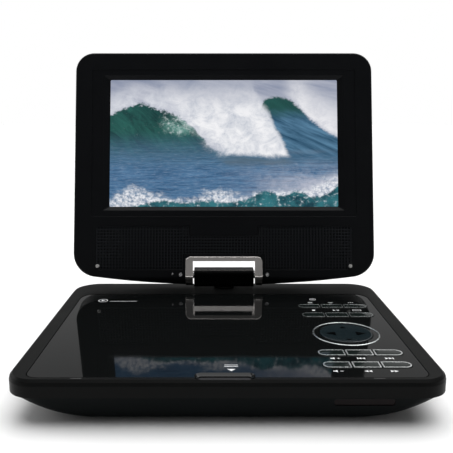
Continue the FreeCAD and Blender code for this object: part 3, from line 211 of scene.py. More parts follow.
# ---- materials ----
class Graph:
    """A small helper that builds one material's nodes."""

    def __init__(self, name):
        self.material = bpy.data.materials.new(name)
        self.material.use_nodes = True
        self.tree = self.material.node_tree
        self.tree.nodes.clear()
        self.output = self.tree.nodes.new("ShaderNodeOutputMaterial")
        self.shader = self.tree.nodes.new("ShaderNodeBsdfPrincipled")
        self.tree.links.new(self.shader.outputs["BSDF"], self.output.inputs["Surface"])
        self.coords = self.tree.nodes.new("ShaderNodeTexCoord")

    def put(self, socket, value):
        if isinstance(value, bpy.types.NodeSocket):
            self.tree.links.new(value, socket)
        else:
            socket.default_value = value

    def node(self, kind, inputs=None, **settings):
        made = self.tree.nodes.new(kind)
        for key, value in settings.items():
            setattr(made, key, value)
        for key, value in (inputs or {}).items():
            self.put(made.inputs[key], value)
        return made

    def set(self, **inputs):
        for key, value in inputs.items():
            self.put(self.shader.inputs[key.replace("_", " ")], value)

    def noise(self, scale, detail=3.0, rough=0.5, vector=None, distort=0.0):
        made = self.node("ShaderNodeTexNoise", {"Scale": scale, "Detail": detail, "Roughness": rough,
                                                "Distortion": distort})
        self.put(made.inputs["Vector"], vector or self.coords.outputs["Object"])
        return made.outputs["Fac"]

    def math(self, kind, a, b=0.0, clamp=False):
        made = self.node("ShaderNodeMath", operation=kind, use_clamp=clamp)
        self.put(made.inputs[0], a)
        self.put(made.inputs[1], b)
        return made.outputs[0]

    def remap(self, value, low, high, to_low, to_high, smooth=False):
        made = self.node("ShaderNodeMapRange", {"Value": value, "From Min": low, "From Max": high,
                                                "To Min": to_low, "To Max": to_high})
        if smooth:
            made.interpolation_type = "SMOOTHSTEP"
        return made.outputs["Result"]

    def mix(self, share, a, b):
        made = self.node("ShaderNodeMix", data_type="RGBA")
        self.put(made.inputs["Factor"], share)
        self.put(made.inputs[6], a)
        self.put(made.inputs[7], b)
        return made.outputs[2]

    def rounded(self, radius):
        """The surface normal, rounded over the edges."""
        return self.node("ShaderNodeBevel", {"Radius": radius}, samples=4).outputs["Normal"]

    def edge_share(self, rounded):
        """How near an edge the point is, from how far the rounded normal has turned."""
        geometry = self.node("ShaderNodeNewGeometry")
        dot = self.node("ShaderNodeVectorMath", operation="DOT_PRODUCT")
        self.put(dot.inputs[0], rounded)
        self.put(dot.inputs[1], geometry.outputs["Normal"])
        return self.remap(dot.outputs["Value"], 0.98, 0.80, 0.0, 1.0)

    def cells(self, scale, randomness=1.0):
        """Distance to the middle of scattered cells."""
        made = self.node("ShaderNodeTexVoronoi", {"Scale": scale, "Randomness": randomness})
        self.put(made.inputs["Vector"], self.coords.outputs["Object"])
        return made.outputs["Distance"]

    def bump(self, height, strength, distance, normal=None):
        made = self.node("ShaderNodeBump", {"Height": height, "Strength": strength, "Distance": distance})
        if normal is not None:
            self.put(made.inputs["Normal"], normal)
        return made.outputs["Normal"]


def rgba(colour, gain=1.0):
    return (colour[0] * gain, colour[1] * gain, colour[2] * gain, 1.0)


PLASTIC_IOR = 1.3
SEAM_BLACK = (0.0004, 0.0004, 0.0004, 1)
DUST = (0.16, 0.16, 0.15, 1)


def seam_line(g, out):
    """A fine joint line round the lid, where its two shells meet, so far out of its middle plane."""
    normal = Vector((0.0, -math.cos(LEAN), math.sin(LEAN)))
    dot = g.node("ShaderNodeVectorMath", operation="DOT_PRODUCT")
    g.put(dot.inputs[0], g.coords.outputs["Object"])
    dot.inputs[1].default_value = normal
    plane = on_lid(0.0, 0.0, out).dot(normal)
    gap = g.math("ABSOLUTE", g.math("SUBTRACT", dot.outputs["Value"], plane))
    return g.remap(gap, 0.10 * MM, 0.16 * MM, 1.0, 0.0)


def plastic(name, colour, rough, grain_mm=0.25, grain=0.25, wear=0.25, round_mm=0.25, shine=0.3, seam=None):
    """Moulded plastic: spark grain, patchy sheen, and paler rubbed edges."""
    g = Graph(name)
    patches = g.noise(42.0, 4.0, 0.6)
    grain_noise = g.noise(1.0 / (grain_mm * MM), 2.0, 0.6)
    rounded = g.rounded(round_mm * MM)
    rubbed = g.remap(g.noise(260.0, 5.0, 0.7), 0.42, 0.72, 0.0, wear)
    scuffs = g.math("MULTIPLY", g.edge_share(rounded), rubbed)
    base = g.mix(patches, rgba(colour, 0.9), rgba(colour, 1.1))
    worn = tuple(min(value * 1.8 + 0.006, 1.0) for value in colour) + (1,)
    if seam is not None:
        base = g.mix(seam_line(g, seam), base, SEAM_BLACK)
    g.set(Base_Color=g.mix(scuffs, base, worn))
    sheen = g.remap(patches, 0.3, 0.7, rough - 0.03, rough + 0.04)
    g.set(Roughness=g.math("SUBTRACT", sheen, g.math("MULTIPLY", scuffs, 0.12), clamp=True))
    g.set(Normal=g.bump(grain_noise, grain, 0.00006, rounded))
    g.set(Specular_IOR_Level=shine, IOR=PLASTIC_IOR)
    return g.material


def gloss(name, colour, rough=0.035, peel=0.04, dust=0.5, round_mm=0.25, shine=0.5, ior=1.49):
    """Polished plastic: faint moulding waviness, light smears and a little dust."""
    g = Graph(name)
    waves = g.noise(55.0, 2.0, 0.4)
    smears = g.noise(16.0, 5.0, 0.65, distort=0.8)
    rounded = g.rounded(round_mm * MM)
    specks = g.remap(g.cells(420.0), 0.035, 0.075, dust, 0.0)
    specks = g.math("MULTIPLY", specks, g.remap(g.noise(30.0, 3.0), 0.52, 0.62, 0.0, 1.0))
    g.set(Base_Color=g.mix(specks, rgba(colour), DUST))
    base_rough = g.remap(smears, 0.45, 0.75, rough, rough + 0.05)
    g.set(Roughness=g.math("ADD", base_rough, g.math("MULTIPLY", specks, 0.5), clamp=True))
    g.set(Normal=g.bump(waves, peel, 0.0004, rounded), IOR=ior, Specular_IOR_Level=shine)
    return g.material


def metal(name, colour, rough, brushed=False, tarnish=0.1, round_mm=0.15):
    """Bare or plated metal, with fine lines along X when it is brushed."""
    g = Graph(name)
    mapping = g.node("ShaderNodeMapping")
    g.put(mapping.inputs["Vector"], g.coords.outputs["Object"])
    mapping.inputs["Scale"].default_value = (60.0, 4000.0, 4000.0) if brushed else (900.0, 900.0, 900.0)
    lines = g.noise(1.0, 3.0, 0.6, mapping.outputs["Vector"])
    stains = g.noise(90.0, 4.0, 0.6)
    rounded = g.rounded(round_mm * MM)
    dull = rgba(colour, 1.0 - tarnish)
    g.set(Base_Color=g.mix(g.remap(stains, 0.45, 0.7, 0.0, 1.0), rgba(colour), dull), Metallic=1.0)
    line_rough = g.remap(lines, 0.3, 0.7, 0.8 * rough, 1.2 * rough)
    g.set(Roughness=g.math("ADD", line_rough, g.remap(stains, 0.5, 0.8, 0.0, 0.08), clamp=True))
    g.set(Normal=g.bump(lines, 0.10 if brushed else 0.03, 0.00002, rounded))
    return g.material


def rubber(name, colour):
    """Matt rubber: fine grit and pale blooms."""
    g = Graph(name)
    grit = g.noise(2600.0, 3.0, 0.7)
    blooms = g.noise(70.0, 4.0, 0.6)
    rounded = g.rounded(0.3 * MM)
    g.set(Base_Color=g.mix(g.remap(blooms, 0.4, 0.75, 0.0, 0.5), rgba(colour), rgba(colour, 1.7)))
    g.set(Roughness=g.remap(blooms, 0.3, 0.7, 0.72, 0.9), Normal=g.bump(grit, 0.4, 0.00005, rounded))
    return g.material


def ink(name, colour, rough=0.45):
    """Screen-printed ink: slightly uneven cover and a fine raised texture."""
    g = Graph(name)
    cover = g.noise(1500.0, 3.0, 0.6)
    g.set(Base_Color=g.mix(g.remap(cover, 0.35, 0.65, 0.0, 1.0), rgba(colour, 0.86), rgba(colour, 1.0)))
    g.set(Roughness=g.remap(cover, 0.3, 0.7, rough - 0.08, rough + 0.1), Normal=g.bump(cover, 0.15, 0.00002))
    return g.material


def board_green(name):
    """Circuit board: solder resist over copper tracks, with bright pads."""
    g = Graph(name)
    resist = {"Color1": (0.010, 0.085, 0.035, 1), "Color2": (0.012, 0.11, 0.045, 1)}
    tracks = {"Mortar": (0.02, 0.19, 0.08, 1), "Scale": 260.0, "Mortar Size": 0.03}
    bricks = g.node("ShaderNodeTexBrick", {**resist, **tracks})
    g.put(bricks.inputs["Vector"], g.coords.outputs["Object"])
    pads = g.remap(g.cells(330.0, 0.7), 0.16, 0.2, 1.0, 0.0)
    g.set(Base_Color=g.mix(pads, bricks.outputs["Color"], (0.72, 0.6, 0.34, 1)), Metallic=pads)
    g.set(Roughness=g.remap(pads, 0.0, 1.0, 0.35, 0.25), Normal=g.bump(bricks.outputs["Fac"], 0.3, 0.0001))
    return g.material


def sea_picture(name):
    """The picture on the screen: mist, two green rollers with white water, and rippled blue sea."""
    g = Graph(name)
    split = g.node("ShaderNodeSeparateXYZ")
    g.put(split.inputs["Vector"], g.coords.outputs["UV"])
    u, v = split.outputs["X"], split.outputs["Y"]

    def grain(x, y, scale, detail=4.0, rough=0.6, distort=0.0, turn=0.0):
        """Noise over the picture, turned by some degrees and then drawn out by x and y."""
        turned = g.node("ShaderNodeMapping")
        g.put(turned.inputs["Vector"], g.coords.outputs["UV"])
        turned.inputs["Rotation"].default_value = (0.0, 0.0, math.radians(turn))
        stretched = g.node("ShaderNodeMapping")
        g.put(stretched.inputs["Vector"], turned.outputs["Vector"])
        stretched.inputs["Scale"].default_value = (x, y, 1.0)
        return g.noise(scale, detail, rough, stretched.outputs["Vector"], distort)

    def curve(points):
        """A smooth height across the picture, through a few points."""
        made = g.node("ShaderNodeFloatCurve")
        line = made.mapping.curves[0]
        line.points[0].location = points[0]
        line.points[1].location = points[-1]
        for x, y in points[1:-1]:
            line.points.new(x, y)
        made.mapping.update()
        g.put(made.inputs["Value"], u)
        return made.outputs["Value"]

    def step(value, low, high, top=1.0):
        """A soft step from nothing at low up to top at high."""
        return g.remap(value, low, high, 0.0, top, smooth=True)

    def less(a, b):
        return g.math("SUBTRACT", a, b)

    def times(*values):
        total = values[0]
        for value in values[1:]:
            total = g.math("MULTIPLY", total, value)
        return total

    def shaken(value, noise, amount):
        """A place made ragged by noise."""
        return g.math("ADD", value, g.math("MULTIPLY", less(noise, 0.5), amount))

    spray = grain(5.0, 3.6, 2.4, 9.0, 0.72, 0.5)
    fleck = grain(16.0, 11.0, 3.0, 6.0, 0.75)
    swell = grain(4.0, 3.0, 2.0, 5.0, 0.6)
    wisps = grain(1.5, 5.0, 1.6, 6.0, 0.62, 0.4, turn=24)

    # sky and drifting spray
    mist = g.mix(step(wisps, 0.3, 0.7), (0.22, 0.255, 0.36, 1), (0.44, 0.46, 0.54, 1))
    picture = g.mix(step(v, 1.0, 0.7, 0.6), mist, (0.56, 0.58, 0.65, 1))

    # the near water, with fine ripples
    ripples = grain(3.0, 26.0, 2.2, 7.0, 0.72)
    fine = grain(10.0, 70.0, 3.0, 5.0, 0.72)
    water = g.mix(g.remap(ripples, 0.32, 0.66, 0.0, 1.0), (0.006, 0.055, 0.140, 1), (0.095, 0.215, 0.375, 1))
    water = g.mix(g.remap(fine, 0.50, 0.80, 0.0, 0.7), water, (0.40, 0.48, 0.62, 1))
    water = g.mix(step(v, 0.24, 0.42, 0.40), water, (0.06, 0.135, 0.19, 1))
    picture = g.mix(step(less(0.46, shaken(v, swell, 0.05)), 0.0, 0.05), picture, water)

    # rollers: dark green at the crest, paler and bluer below, with streaks up the face
    left_streaks = grain(13.0, 3.0, 1.5, 7.0, 0.7, 0.6, turn=-28)
    right_streaks = grain(2.5, 15.0, 1.8, 6.0, 0.66, 0.3, turn=38)
    dark_teal, green = (0.001, 0.024, 0.027, 1), (0.020, 0.120, 0.100, 1)
    left_water = g.mix(g.remap(left_streaks, 0.32, 0.70, 0.0, 1.0), dark_teal, green)
    left_water = g.mix(g.remap(fleck, 0.60, 0.82, 0.0, 0.5), left_water, (0.35, 0.45, 0.45, 1))

    # the pale lip where the left roller starts to break
    across = g.math("DIVIDE", less(u, 0.31), 0.10)
    above = g.math("DIVIDE", less(v, 0.66), 0.11)
    reach = g.math("ADD", times(across, across), times(above, above))
    lip = times(step(reach, 1.0, 0.1), g.remap(left_streaks, 0.40, 0.62, 0.15, 1.0))
    left_water = g.mix(lip, left_water, (0.16, 0.34, 0.30, 1))
    broken = times(step(reach, 1.3, 0.3), g.remap(fleck, 0.50, 0.64, 0.0, 0.8))
    left_water = g.mix(broken, left_water, (0.60, 0.68, 0.68, 1))
    left_water = g.mix(step(v, 0.62, 0.36, 0.85), left_water, water)
    left_crest = curve([(0.0, 0.73), (0.06, 0.785), (0.13, 0.82), (0.20, 0.785), (0.28, 0.735), (0.34, 0.67),
                        (0.40, 0.56), (0.48, 0.43), (0.60, 0.40), (1.0, 0.40)])
    left_gap = less(left_crest, shaken(shaken(v, spray, 0.09), fleck, 0.11))
    left_mask = times(step(left_gap, 0.0, 0.025), step(v, 0.30, 0.44))
    right_blue, right_pale = (0.004, 0.045, 0.095, 1), (0.10, 0.23, 0.36, 1)
    right_water = g.mix(g.remap(right_streaks, 0.32, 0.68, 0.0, 1.0), right_blue, right_pale)
    right_top = g.mix(left_streaks, dark_teal, green)
    right_water = g.mix(step(shaken(v, swell, 0.12), 0.66, 0.80), right_water, right_top)
    right_crest = curve([(0.0, 0.40), (0.60, 0.40), (0.655, 0.70), (0.69, 0.865), (0.77, 0.875), (0.83, 0.80),
                         (0.89, 0.69), (0.95, 0.61), (1.0, 0.56)])
    right_gap = less(right_crest, shaken(shaken(v, spray, 0.05), fleck, 0.08))
    right_mask = times(step(right_gap, 0.0, 0.03), step(v, 0.34, 0.46))

    # thrown spray above the two crests, thinning upwards
    left_spray = times(step(left_gap, 0.03, -0.03), step(left_gap, -0.20, -0.02), step(u, 0.62, 0.40))
    right_spray = times(step(right_gap, 0.03, -0.03), step(right_gap, -0.34, -0.04), step(u, 0.74, 0.86))
    picture = g.mix(times(left_spray, g.remap(spray, 0.36, 0.62, 0.15, 1.0)), picture, (0.70, 0.72, 0.77, 1))
    picture = g.mix(times(right_spray, g.remap(spray, 0.30, 0.56, 0.35, 1.0)), picture, (0.80, 0.80, 0.83, 1))
    picture = g.mix(left_mask, picture, left_water)
    picture = g.mix(right_mask, picture, right_water)

    # the fall of white water between them
    white = g.mix(g.remap(spray, 0.30, 0.60, 0.0, 1.0), (0.46, 0.50, 0.58, 1), (0.88, 0.88, 0.90, 1))
    white = g.mix(g.remap(fleck, 0.52, 0.80, 0.0, 0.5), white, (1.0, 1.0, 1.0, 1))
    ragged_v = shaken(v, spray, 0.10)
    left_side = less(shaken(u, spray, 0.16), g.math("ADD", 0.300, times(less(0.72, v), 0.50)))
    right_side = less(g.math("ADD", 0.668, times(less(0.86, v), 0.286)), shaken(u, spray, 0.07))
    thinning = less(1.0, step(shaken(v, wisps, 0.2), 0.70, 1.02, 0.9))
    between = times(step(left_side, -0.03, 0.09), step(right_side, -0.004, 0.022))
    foam = times(between, step(ragged_v, 0.375, 0.43), thinning)
    picture = g.mix(foam, picture, white)
    foot = times(step(ragged_v, 0.40, 0.36), step(ragged_v, 0.30, 0.36))
    shade = times(foot, step(left_side, -0.02, 0.05), step(right_side, -0.01, 0.05), 0.55)
    picture = g.mix(shade, picture, (0.09, 0.13, 0.16, 1))

    # the breaking crest in front, with haze over it on the right
    haze = times(step(v, 0.40, 0.16, 0.75), step(u, 0.45, 0.95), g.remap(spray, 0.34, 0.62, 0.0, 1.0))
    picture = g.mix(haze, picture, (0.60, 0.60, 0.68, 1))
    front_foam = curve([(0.0, 0.06), (0.09, 0.15), (0.20, 0.105), (0.34, 0.07), (0.48, 0.15), (0.58, 0.10),
                        (0.72, 0.14), (0.84, 0.16), (0.93, 0.22), (1.0, 0.26)])
    front_green = curve([(0.0, -0.02), (0.14, 0.02), (0.22, 0.055), (0.32, 0.035), (0.42, 0.05), (0.50, 0.04),
                         (0.60, 0.06), (0.68, 0.125), (0.76, 0.09), (0.82, 0.125), (0.90, 0.08), (1.0, 0.17)])
    low_v = shaken(v, spray, 0.26)
    crest = times(step(less(front_foam, low_v), -0.02, 0.06), g.remap(fleck, 0.40, 0.58, 0.12, 1.0))
    picture = g.mix(crest, picture, (0.82, 0.83, 0.86, 1))
    near_green = g.mix(g.remap(spray, 0.36, 0.60, 0.0, 1.0), (0.003, 0.040, 0.060, 1), (0.03, 0.17, 0.20, 1))
    near_green = g.mix(g.remap(fleck, 0.55, 0.66, 0.0, 0.85), near_green, (0.66, 0.72, 0.76, 1))
    picture = g.mix(step(less(front_green, shaken(v, fleck, 0.08)), -0.005, 0.02), picture, near_green)

    g.set(Base_Color=(0.01, 0.01, 0.012, 1), Emission_Color=picture, Emission_Strength=1.0)
    smudge = g.noise(22.0, 4.0, 0.6)
    g.set(Roughness=g.remap(smudge, 0.3, 0.75, 0.10, 0.2), Specular_IOR_Level=0.3)
    return g.material


CASE = plastic("case_satin", (0.0036, 0.0039, 0.0038), 0.40, grain_mm=0.3, grain=0.3, wear=0.35,
               round_mm=0.35, shine=0.14)
TUB = plastic("tub_matt", (0.0018, 0.0028, 0.0030), 0.46, grain_mm=0.4, grain=0.45, wear=0.15,
              round_mm=0.4, shine=0.12)
BEZEL = plastic("bezel_satin", (0.0038, 0.0043, 0.0052), 0.38, wear=1.0, round_mm=0.3, shine=0.22, seam=-0.5)
BACK = plastic("lid_back_satin", (0.0055, 0.0058, 0.0060), 0.40, grain_mm=0.3, grain=0.3, wear=0.2, seam=-0.5)
GRILLE = plastic("grille_matt", (0.0095, 0.0108, 0.0128), 0.45, grain_mm=0.2, grain=0.3, wear=0.3,
                 round_mm=0.1)
# darker than the grille: painted shade for the plates behind its holes
GRILLE_PAINTED_SHADE = plastic("grille_shadow", (0.0035, 0.0038, 0.0042), 0.9, grain_mm=0.3, grain=0.2, wear=0.0,
                      shine=0.05)
DOOR_GLOSS = gloss("door_gloss", (0.0035, 0.004, 0.004), rough=0.03, peel=0.03, dust=0.35, ior=1.33)
HINGE_GLOSS = gloss("hinge_gloss", (0.0012, 0.0014, 0.0014), rough=0.10, peel=0.02, dust=0.1, round_mm=0.4,
                    shine=0.03)
KEY_GLOSS = gloss("key_gloss", (0.006, 0.010, 0.009), rough=0.12, peel=0.02, dust=0.3)
PAD_GLOSS = gloss("pad_gloss", (0.0065, 0.0125, 0.0150), rough=0.20, peel=0.02, dust=0.1, shine=0.3)
INNER = plastic("inner_black", (0.022, 0.022, 0.024), 0.55, grain_mm=0.5, grain=0.4, wear=0.2)
CHROME = metal("chrome", (0.88, 0.84, 0.81), 0.06, tarnish=0.08, round_mm=0.5)
STEEL = metal("steel_bright", (0.62, 0.62, 0.63), 0.24, brushed=True)
ALUMINIUM = metal("pressed_aluminium", (0.66, 0.66, 0.68), 0.34)
BLACK_STEEL = plastic("black_steel", (0.03, 0.03, 0.032), 0.4, grain_mm=0.6, grain=0.3, wear=0.5)
BRASS = metal("brass_contact", (0.80, 0.60, 0.27), 0.25)
RUBBER = rubber("foot_rubber", (0.018, 0.018, 0.018))
BUMPER = rubber("bumper_grey", (0.40, 0.40, 0.39))
BOARD = board_green("circuit_board")
CHIP = plastic("chip_epoxy", (0.018, 0.018, 0.018), 0.6, grain_mm=0.15, grain=0.5, wear=0.1)
WRAP = plastic("battery_film", (0.02, 0.05, 0.16), 0.2, grain_mm=2.0, grain=0.3, wear=0.2)
ACETAL = plastic("gear_acetal", (0.72, 0.71, 0.66), 0.35, grain_mm=0.5, grain=0.1, wear=0.1)
HUB_PLASTIC = plastic("hub_plastic", (0.035, 0.035, 0.037), 0.35, grain_mm=0.3, grain=0.2)
WINDOW = gloss("infra_red_window", (0.0030, 0.0010, 0.0012), rough=0.08, peel=0.02, dust=0.1, ior=1.2)
CONE = plastic("speaker_cone", (0.02, 0.02, 0.02), 0.85, grain_mm=0.4, grain=0.8, wear=0.0)
WHITE_INK = ink("white_print", (0.80, 0.81, 0.82))
DARK_INK = ink("dark_print", (0.006, 0.010, 0.013))
# pale metal bands inside the key edges and round the nav pad: rows c and d take the paler one, rows a and b
# and the nav ring the greyer one
KEY_BAND_PALER = metal("key_band_paler", (0.80, 0.82, 0.82), 0.30, tarnish=0.3)
KEY_BAND_GREYER = metal("key_band_greyer", (0.60, 0.63, 0.63), 0.28, tarnish=0.6)
NAV_INK = gloss("nav_ink", (0.0008, 0.0010, 0.0012), rough=0.25, peel=0.0, dust=0.0, shine=0.1, ior=1.2)
LENS = gloss("lens_coated", (0.10, 0.06, 0.22), rough=0.02, peel=0.0, dust=0.1)
SEA = sea_picture("screen_picture")

NODE_MATERIALS = {
    "top_case": CASE, "bottom_case": TUB, "remote_window": WINDOW, "battery_cover": TUB, "battery_pack": WRAP,
    "main_board": BOARD, "decoder_chip": CHIP, "headphone_jack": INNER, "av_jack": INNER, "dc_inlet": INNER,
    "power_switch_body": INNER, "power_slider": CASE, "latch_catch": STEEL, "case_screws": STEEL,
    "drive_chassis": BLACK_STEEL, "spindle_motor": ALUMINIUM, "guide_rods": STEEL, "sled_motor": ALUMINIUM,
    "swivel_disc": CASE, "swivel_retainer": STEEL, "hinge_block": HINGE_GLOSS, "tilt_shafts": STEEL,
    "lid_bezel": BEZEL, "lid_back_cover": BACK, "lcd_frame": INNER, "lcd_driver_board": BOARD,
    "speaker_left": CONE, "speaker_right": CONE, "chrome_trim": CHROME, "lid_bumpers": BUMPER,
    "lid_hinge_brackets": ALUMINIUM, "door_panel": DOOR_GLOSS, "door_frame": INNER, "door_pins": STEEL,
    "key_board": BOARD, "disc_hub": HUB_PLASTIC, "optical_pickup": ALUMINIUM, "objective_lens": INNER,
    "sled_gear": ACETAL, "motor_pinion": ACETAL,
}


def dress_nodes():
    for name, node in NODES.items():
        material = NODE_MATERIALS.get(name, RUBBER if name.startswith("foot_") else CASE)
        node.data.materials.clear()
        node.data.materials.append(material)


# ---- speaker grille ----
GRILLE_PITCH = 2.05
GRILLE_COLUMNS, GRILLE_ROWS = 83, 14
GRILLE_HOLE = 1.30
GRILLE_FOOT = 3.5                            # where the lowest row of cells starts
GRILLE_EDGE = GRILLE_PITCH * GRILLE_COLUMNS / 2
GRILLE_HEAD = GRILLE_FOOT + GRILLE_PITCH * GRILLE_ROWS
GRILLE_FRONT, GRILLE_BACK = HALF - 0.12, HALF - 0.72
UPPER_STEP = (23.6, 25.4)                    # no cells nearer the middle and higher than this
LOWER_STEP = (28.4, 14.4)                    # nor nearer the middle and lower than this, round the trim
BUMPER_PLACE = (84.5, 5.6)                   # cells near a bumper have no hole
BUMPER_CLEAR = 2.3
RECESS_EDGE, RECESS_FOOT, RECESS_HEAD = 85.8, 3.1, 32.4
SPEAKER_X, SPEAKER_UP, SPEAKER_R = 77.0, 20.5, 9.4


def grille_cells():
    """Each cell's column, row and middle, and whether it has a hole."""
    x_start = -GRILLE_PITCH * (GRILLE_COLUMNS - 1) / 2
    for i in range(GRILLE_COLUMNS):
        for k in range(GRILLE_ROWS):
            x, up = x_start + i * GRILLE_PITCH, GRILLE_FOOT + GRILLE_PITCH * (k + 0.5)
            if abs(x) < UPPER_STEP[0] and up > UPPER_STEP[1]:
                continue
            if abs(x) < LOWER_STEP[0] and up < LOWER_STEP[1]:
                continue
            from_bumper = math.hypot(abs(x) - BUMPER_PLACE[0], up - BUMPER_PLACE[1])
            yield i, k, x, up, from_bumper > BUMPER_CLEAR


def speaker_grille():
    """One welded mesh: a plate with a square hole right through each cell."""
    half, hole = GRILLE_PITCH / 2, GRILLE_HOLE / 2
    verts, faces, index = [], [], {}

    def corner(x, up, out):
        key_place = (round(x, 4), round(up, 4), round(out, 4))
        if key_place not in index:
            index[key_place] = len(verts)
            verts.append((x, up, out))
        return index[key_place]

    def square(x, up, size, out):
        return [corner(x + sx * size, up + sy * size, out) for sx, sy in ((-1, -1), (1, -1), (1, 1), (-1, 1))]

    cells = {(i, k): (x, up, holed) for i, k, x, up, holed in grille_cells()}
    for (i, k), (x, up, holed) in cells.items():
        outer, low = square(x, up, half, GRILLE_FRONT), square(x, up, half, GRILLE_BACK)
        if holed:
            rim = square(x, up, hole, GRILLE_FRONT)
            foot = square(x, up, hole, GRILLE_BACK)
            for a in range(4):
                b = (a + 1) % 4
                faces.append((outer[a], outer[b], rim[b], rim[a]))
                faces.append((rim[a], rim[b], foot[b], foot[a]))
                faces.append((low[b], low[a], foot[a], foot[b]))
        else:
            faces.append(tuple(outer))
            faces.append(tuple(reversed(low)))
        for a, (di, dk) in enumerate(((0, -1), (1, 0), (0, 1), (-1, 0))):
            if (i + di, k + dk) not in cells:
                b = (a + 1) % 4
                faces.append((outer[b], outer[a], low[a], low[b]))
    grille = add_piece("grille_mesh", verts, faces, on_lid, "lid", GRILLE)
    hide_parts("speaker_grille")


def grille_shade_plates():
    """Dark plates close the holes from behind, except in front of the two loudspeakers; their dark colour is
    painted shade in the holes.
    """
    out0, out1 = HALF - 0.79, HALF - 0.74
    inner = SPEAKER_X - SPEAKER_R
    low, high = GRILLE_FOOT + 0.1, GRILLE_HEAD - 0.1
    wing, bridge = LOWER_STEP[0] + 0.2, LOWER_STEP[0] + 0.1
    parts = [slab(round_box(-inner, -wing, low, high, 0.3), out0, out1),
             slab(round_box(wing, inner, low, high, 0.3), out0, out1),
             slab(round_box(-bridge, bridge, LOWER_STEP[1] + 0.2, UPPER_STEP[1] - 0.2, 0.3), out0, out1)]
    for side in (-1, 1):
        x0, x1 = sorted((side * (inner + 0.1), side * GRILLE_EDGE))
        parts.append(slab(round_box(x0, x1, low, SPEAKER_UP - SPEAKER_R, 0.3), out0, out1))
        parts.append(slab(round_box(x0, x1, SPEAKER_UP + SPEAKER_R, high, 0.3), out0, out1))
    verts, faces = merged(*parts)
    add_piece("grille_shade_plates", verts, faces, on_lid, "lid", GRILLE_PAINTED_SHADE)


def grille_surround():
    """The plain land between the waffle and the edge of its recess in the bezel."""
    gap = 0.02
    out1 = HALF - 0.1
    parts = []
    for side in (-1, 1):
        x0, x1 = sorted((side * (GRILLE_EDGE + gap), side * RECESS_EDGE))
        parts.append(slab(round_box(x0, x1, RECESS_FOOT, RECESS_HEAD, 0.4), GRILLE_BACK, out1))
        x0, x1 = sorted((side * (LOWER_STEP[0] - 0.9), side * GRILLE_EDGE))
        parts.append(slab(round_box(x0, x1, RECESS_FOOT, GRILLE_FOOT - gap, 0.3), GRILLE_BACK, out1))
        x0, x1 = sorted((side * (UPPER_STEP[0] - 0.7), side * GRILLE_EDGE))
        parts.append(slab(round_box(x0, x1, GRILLE_HEAD + gap, RECESS_HEAD, 0.3), GRILLE_BACK, out1))
    verts, faces = merged(*parts)
    add_piece("grille_land", verts, faces, on_lid, "lid", GRILLE)


# ---- screen ----
LCD_HALF_WIDTH, LCD_HALF_HEIGHT = 77.05, 43.3        # the lit area
LCD_MIDDLE = 89.2                                    # its middle, up the lid
GLASS_BORDER = 0.9
GLASS_OUT = (HALF - 3.55, HALF - 2.42)


def screen():
    """The screen glass, with the picture laid over the lit area."""
    x1, rise = LCD_HALF_WIDTH + GLASS_BORDER, LCD_HALF_HEIGHT + GLASS_BORDER
    verts, faces = slab(round_box(-x1, x1, LCD_MIDDLE - rise, LCD_MIDDLE + rise, 0.5), *GLASS_OUT)
    glass = add_piece("screen_glass", verts, faces, on_lid, "lid", SEA)
    layer = glass.data.uv_layers.new(name="picture")
    for loop in glass.data.loops:
        x, up = verts[loop.vertex_index][:2]
        u = (x + LCD_HALF_WIDTH) / (2 * LCD_HALF_WIDTH)
        v = (up - LCD_MIDDLE + LCD_HALF_HEIGHT) / (2 * LCD_HALF_HEIGHT)
        layer.data[loop.index].uv = (u, v)
    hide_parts("lcd_glass")


# ---- keys ----
KEY_ROWS = {"a": ("menu", "title", "setup"), "b": ("stop", "play", "screen"),
            "c": ("volume_up", "previous", "next"), "d": ("volume_down", "rewind", "forward")}
KEY_LINE = {"a": 0.42, "b": 0.42, "c": 0.66, "d": 0.66}      # width of the light line on each row's keys
KEY_LINE_INSET = 0.12
KEY_FLANGE = 0.8                                             # hidden under the panel
KEY_EDGE = 0.22
KEY_DEEP = 1.8


def key_row(name):
    return next(letter for letter, names in KEY_ROWS.items() if name in names)


def key_outline(name, inset):
    """A key's outline from its CAD cap: round at the row's outer end, square between keys."""
    low, high = box_mm("key_" + name)
    names = KEY_ROWS[key_row(name)]
    first, last = name == names[0], name == names[-1]
    x0 = low.x + (KEY_FLANGE if first else 0.0) + inset
    x1 = high.x - (KEY_FLANGE if last else 0.0) - inset
    y0, y1 = low.y + KEY_FLANGE + inset, high.y - KEY_FLANGE - inset
    large = max((y1 - y0) / 2 - 0.02, 0.2)
    small = max(0.35 - inset, 0.08)
    left, right = large if first else small, large if last else small
    return round_box(x0, x1, y0, y1, (left, right, right, left), 10)


def key(name):
    """A key cap with a rounded top edge and a light line just inside it."""
    top = box_mm("key_" + name)[1].z
    rings = [at_height(key_outline(name, 0.0), top - KEY_DEEP)]
    for k in range(4):
        turn = math.pi / 2 * k / 3
        outline = key_outline(name, KEY_EDGE * (1 - math.cos(turn)))
        rings.append(at_height(outline, top - KEY_EDGE * (1 - math.sin(turn)) - 0.04))
    body = "button_" + name
    verts, faces = lofted(rings)
    cap = add_piece("cap_" + name, verts, faces, in_frame, body, KEY_GLOSS, smooth=True)
    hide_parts("key_" + name)
    row = key_row(name)
    outer = key_outline(name, KEY_LINE_INSET)
    inner = key_outline(name, KEY_LINE_INSET + KEY_LINE[row])
    verts, faces = band(outer, inner, top - 0.08, top)
    line = KEY_BAND_GREYER if row in "ab" else KEY_BAND_PALER
    add_piece("edge_" + name, verts, faces, in_frame, body, line)


def turned_rings(profile, cx, cy, height, n):
    """Rings round an upright axis from (radius, height above) pairs."""
    return [[(x, y, height + z) for x, y in disc_points(cx, cy, radius, n)] for radius, z in profile]


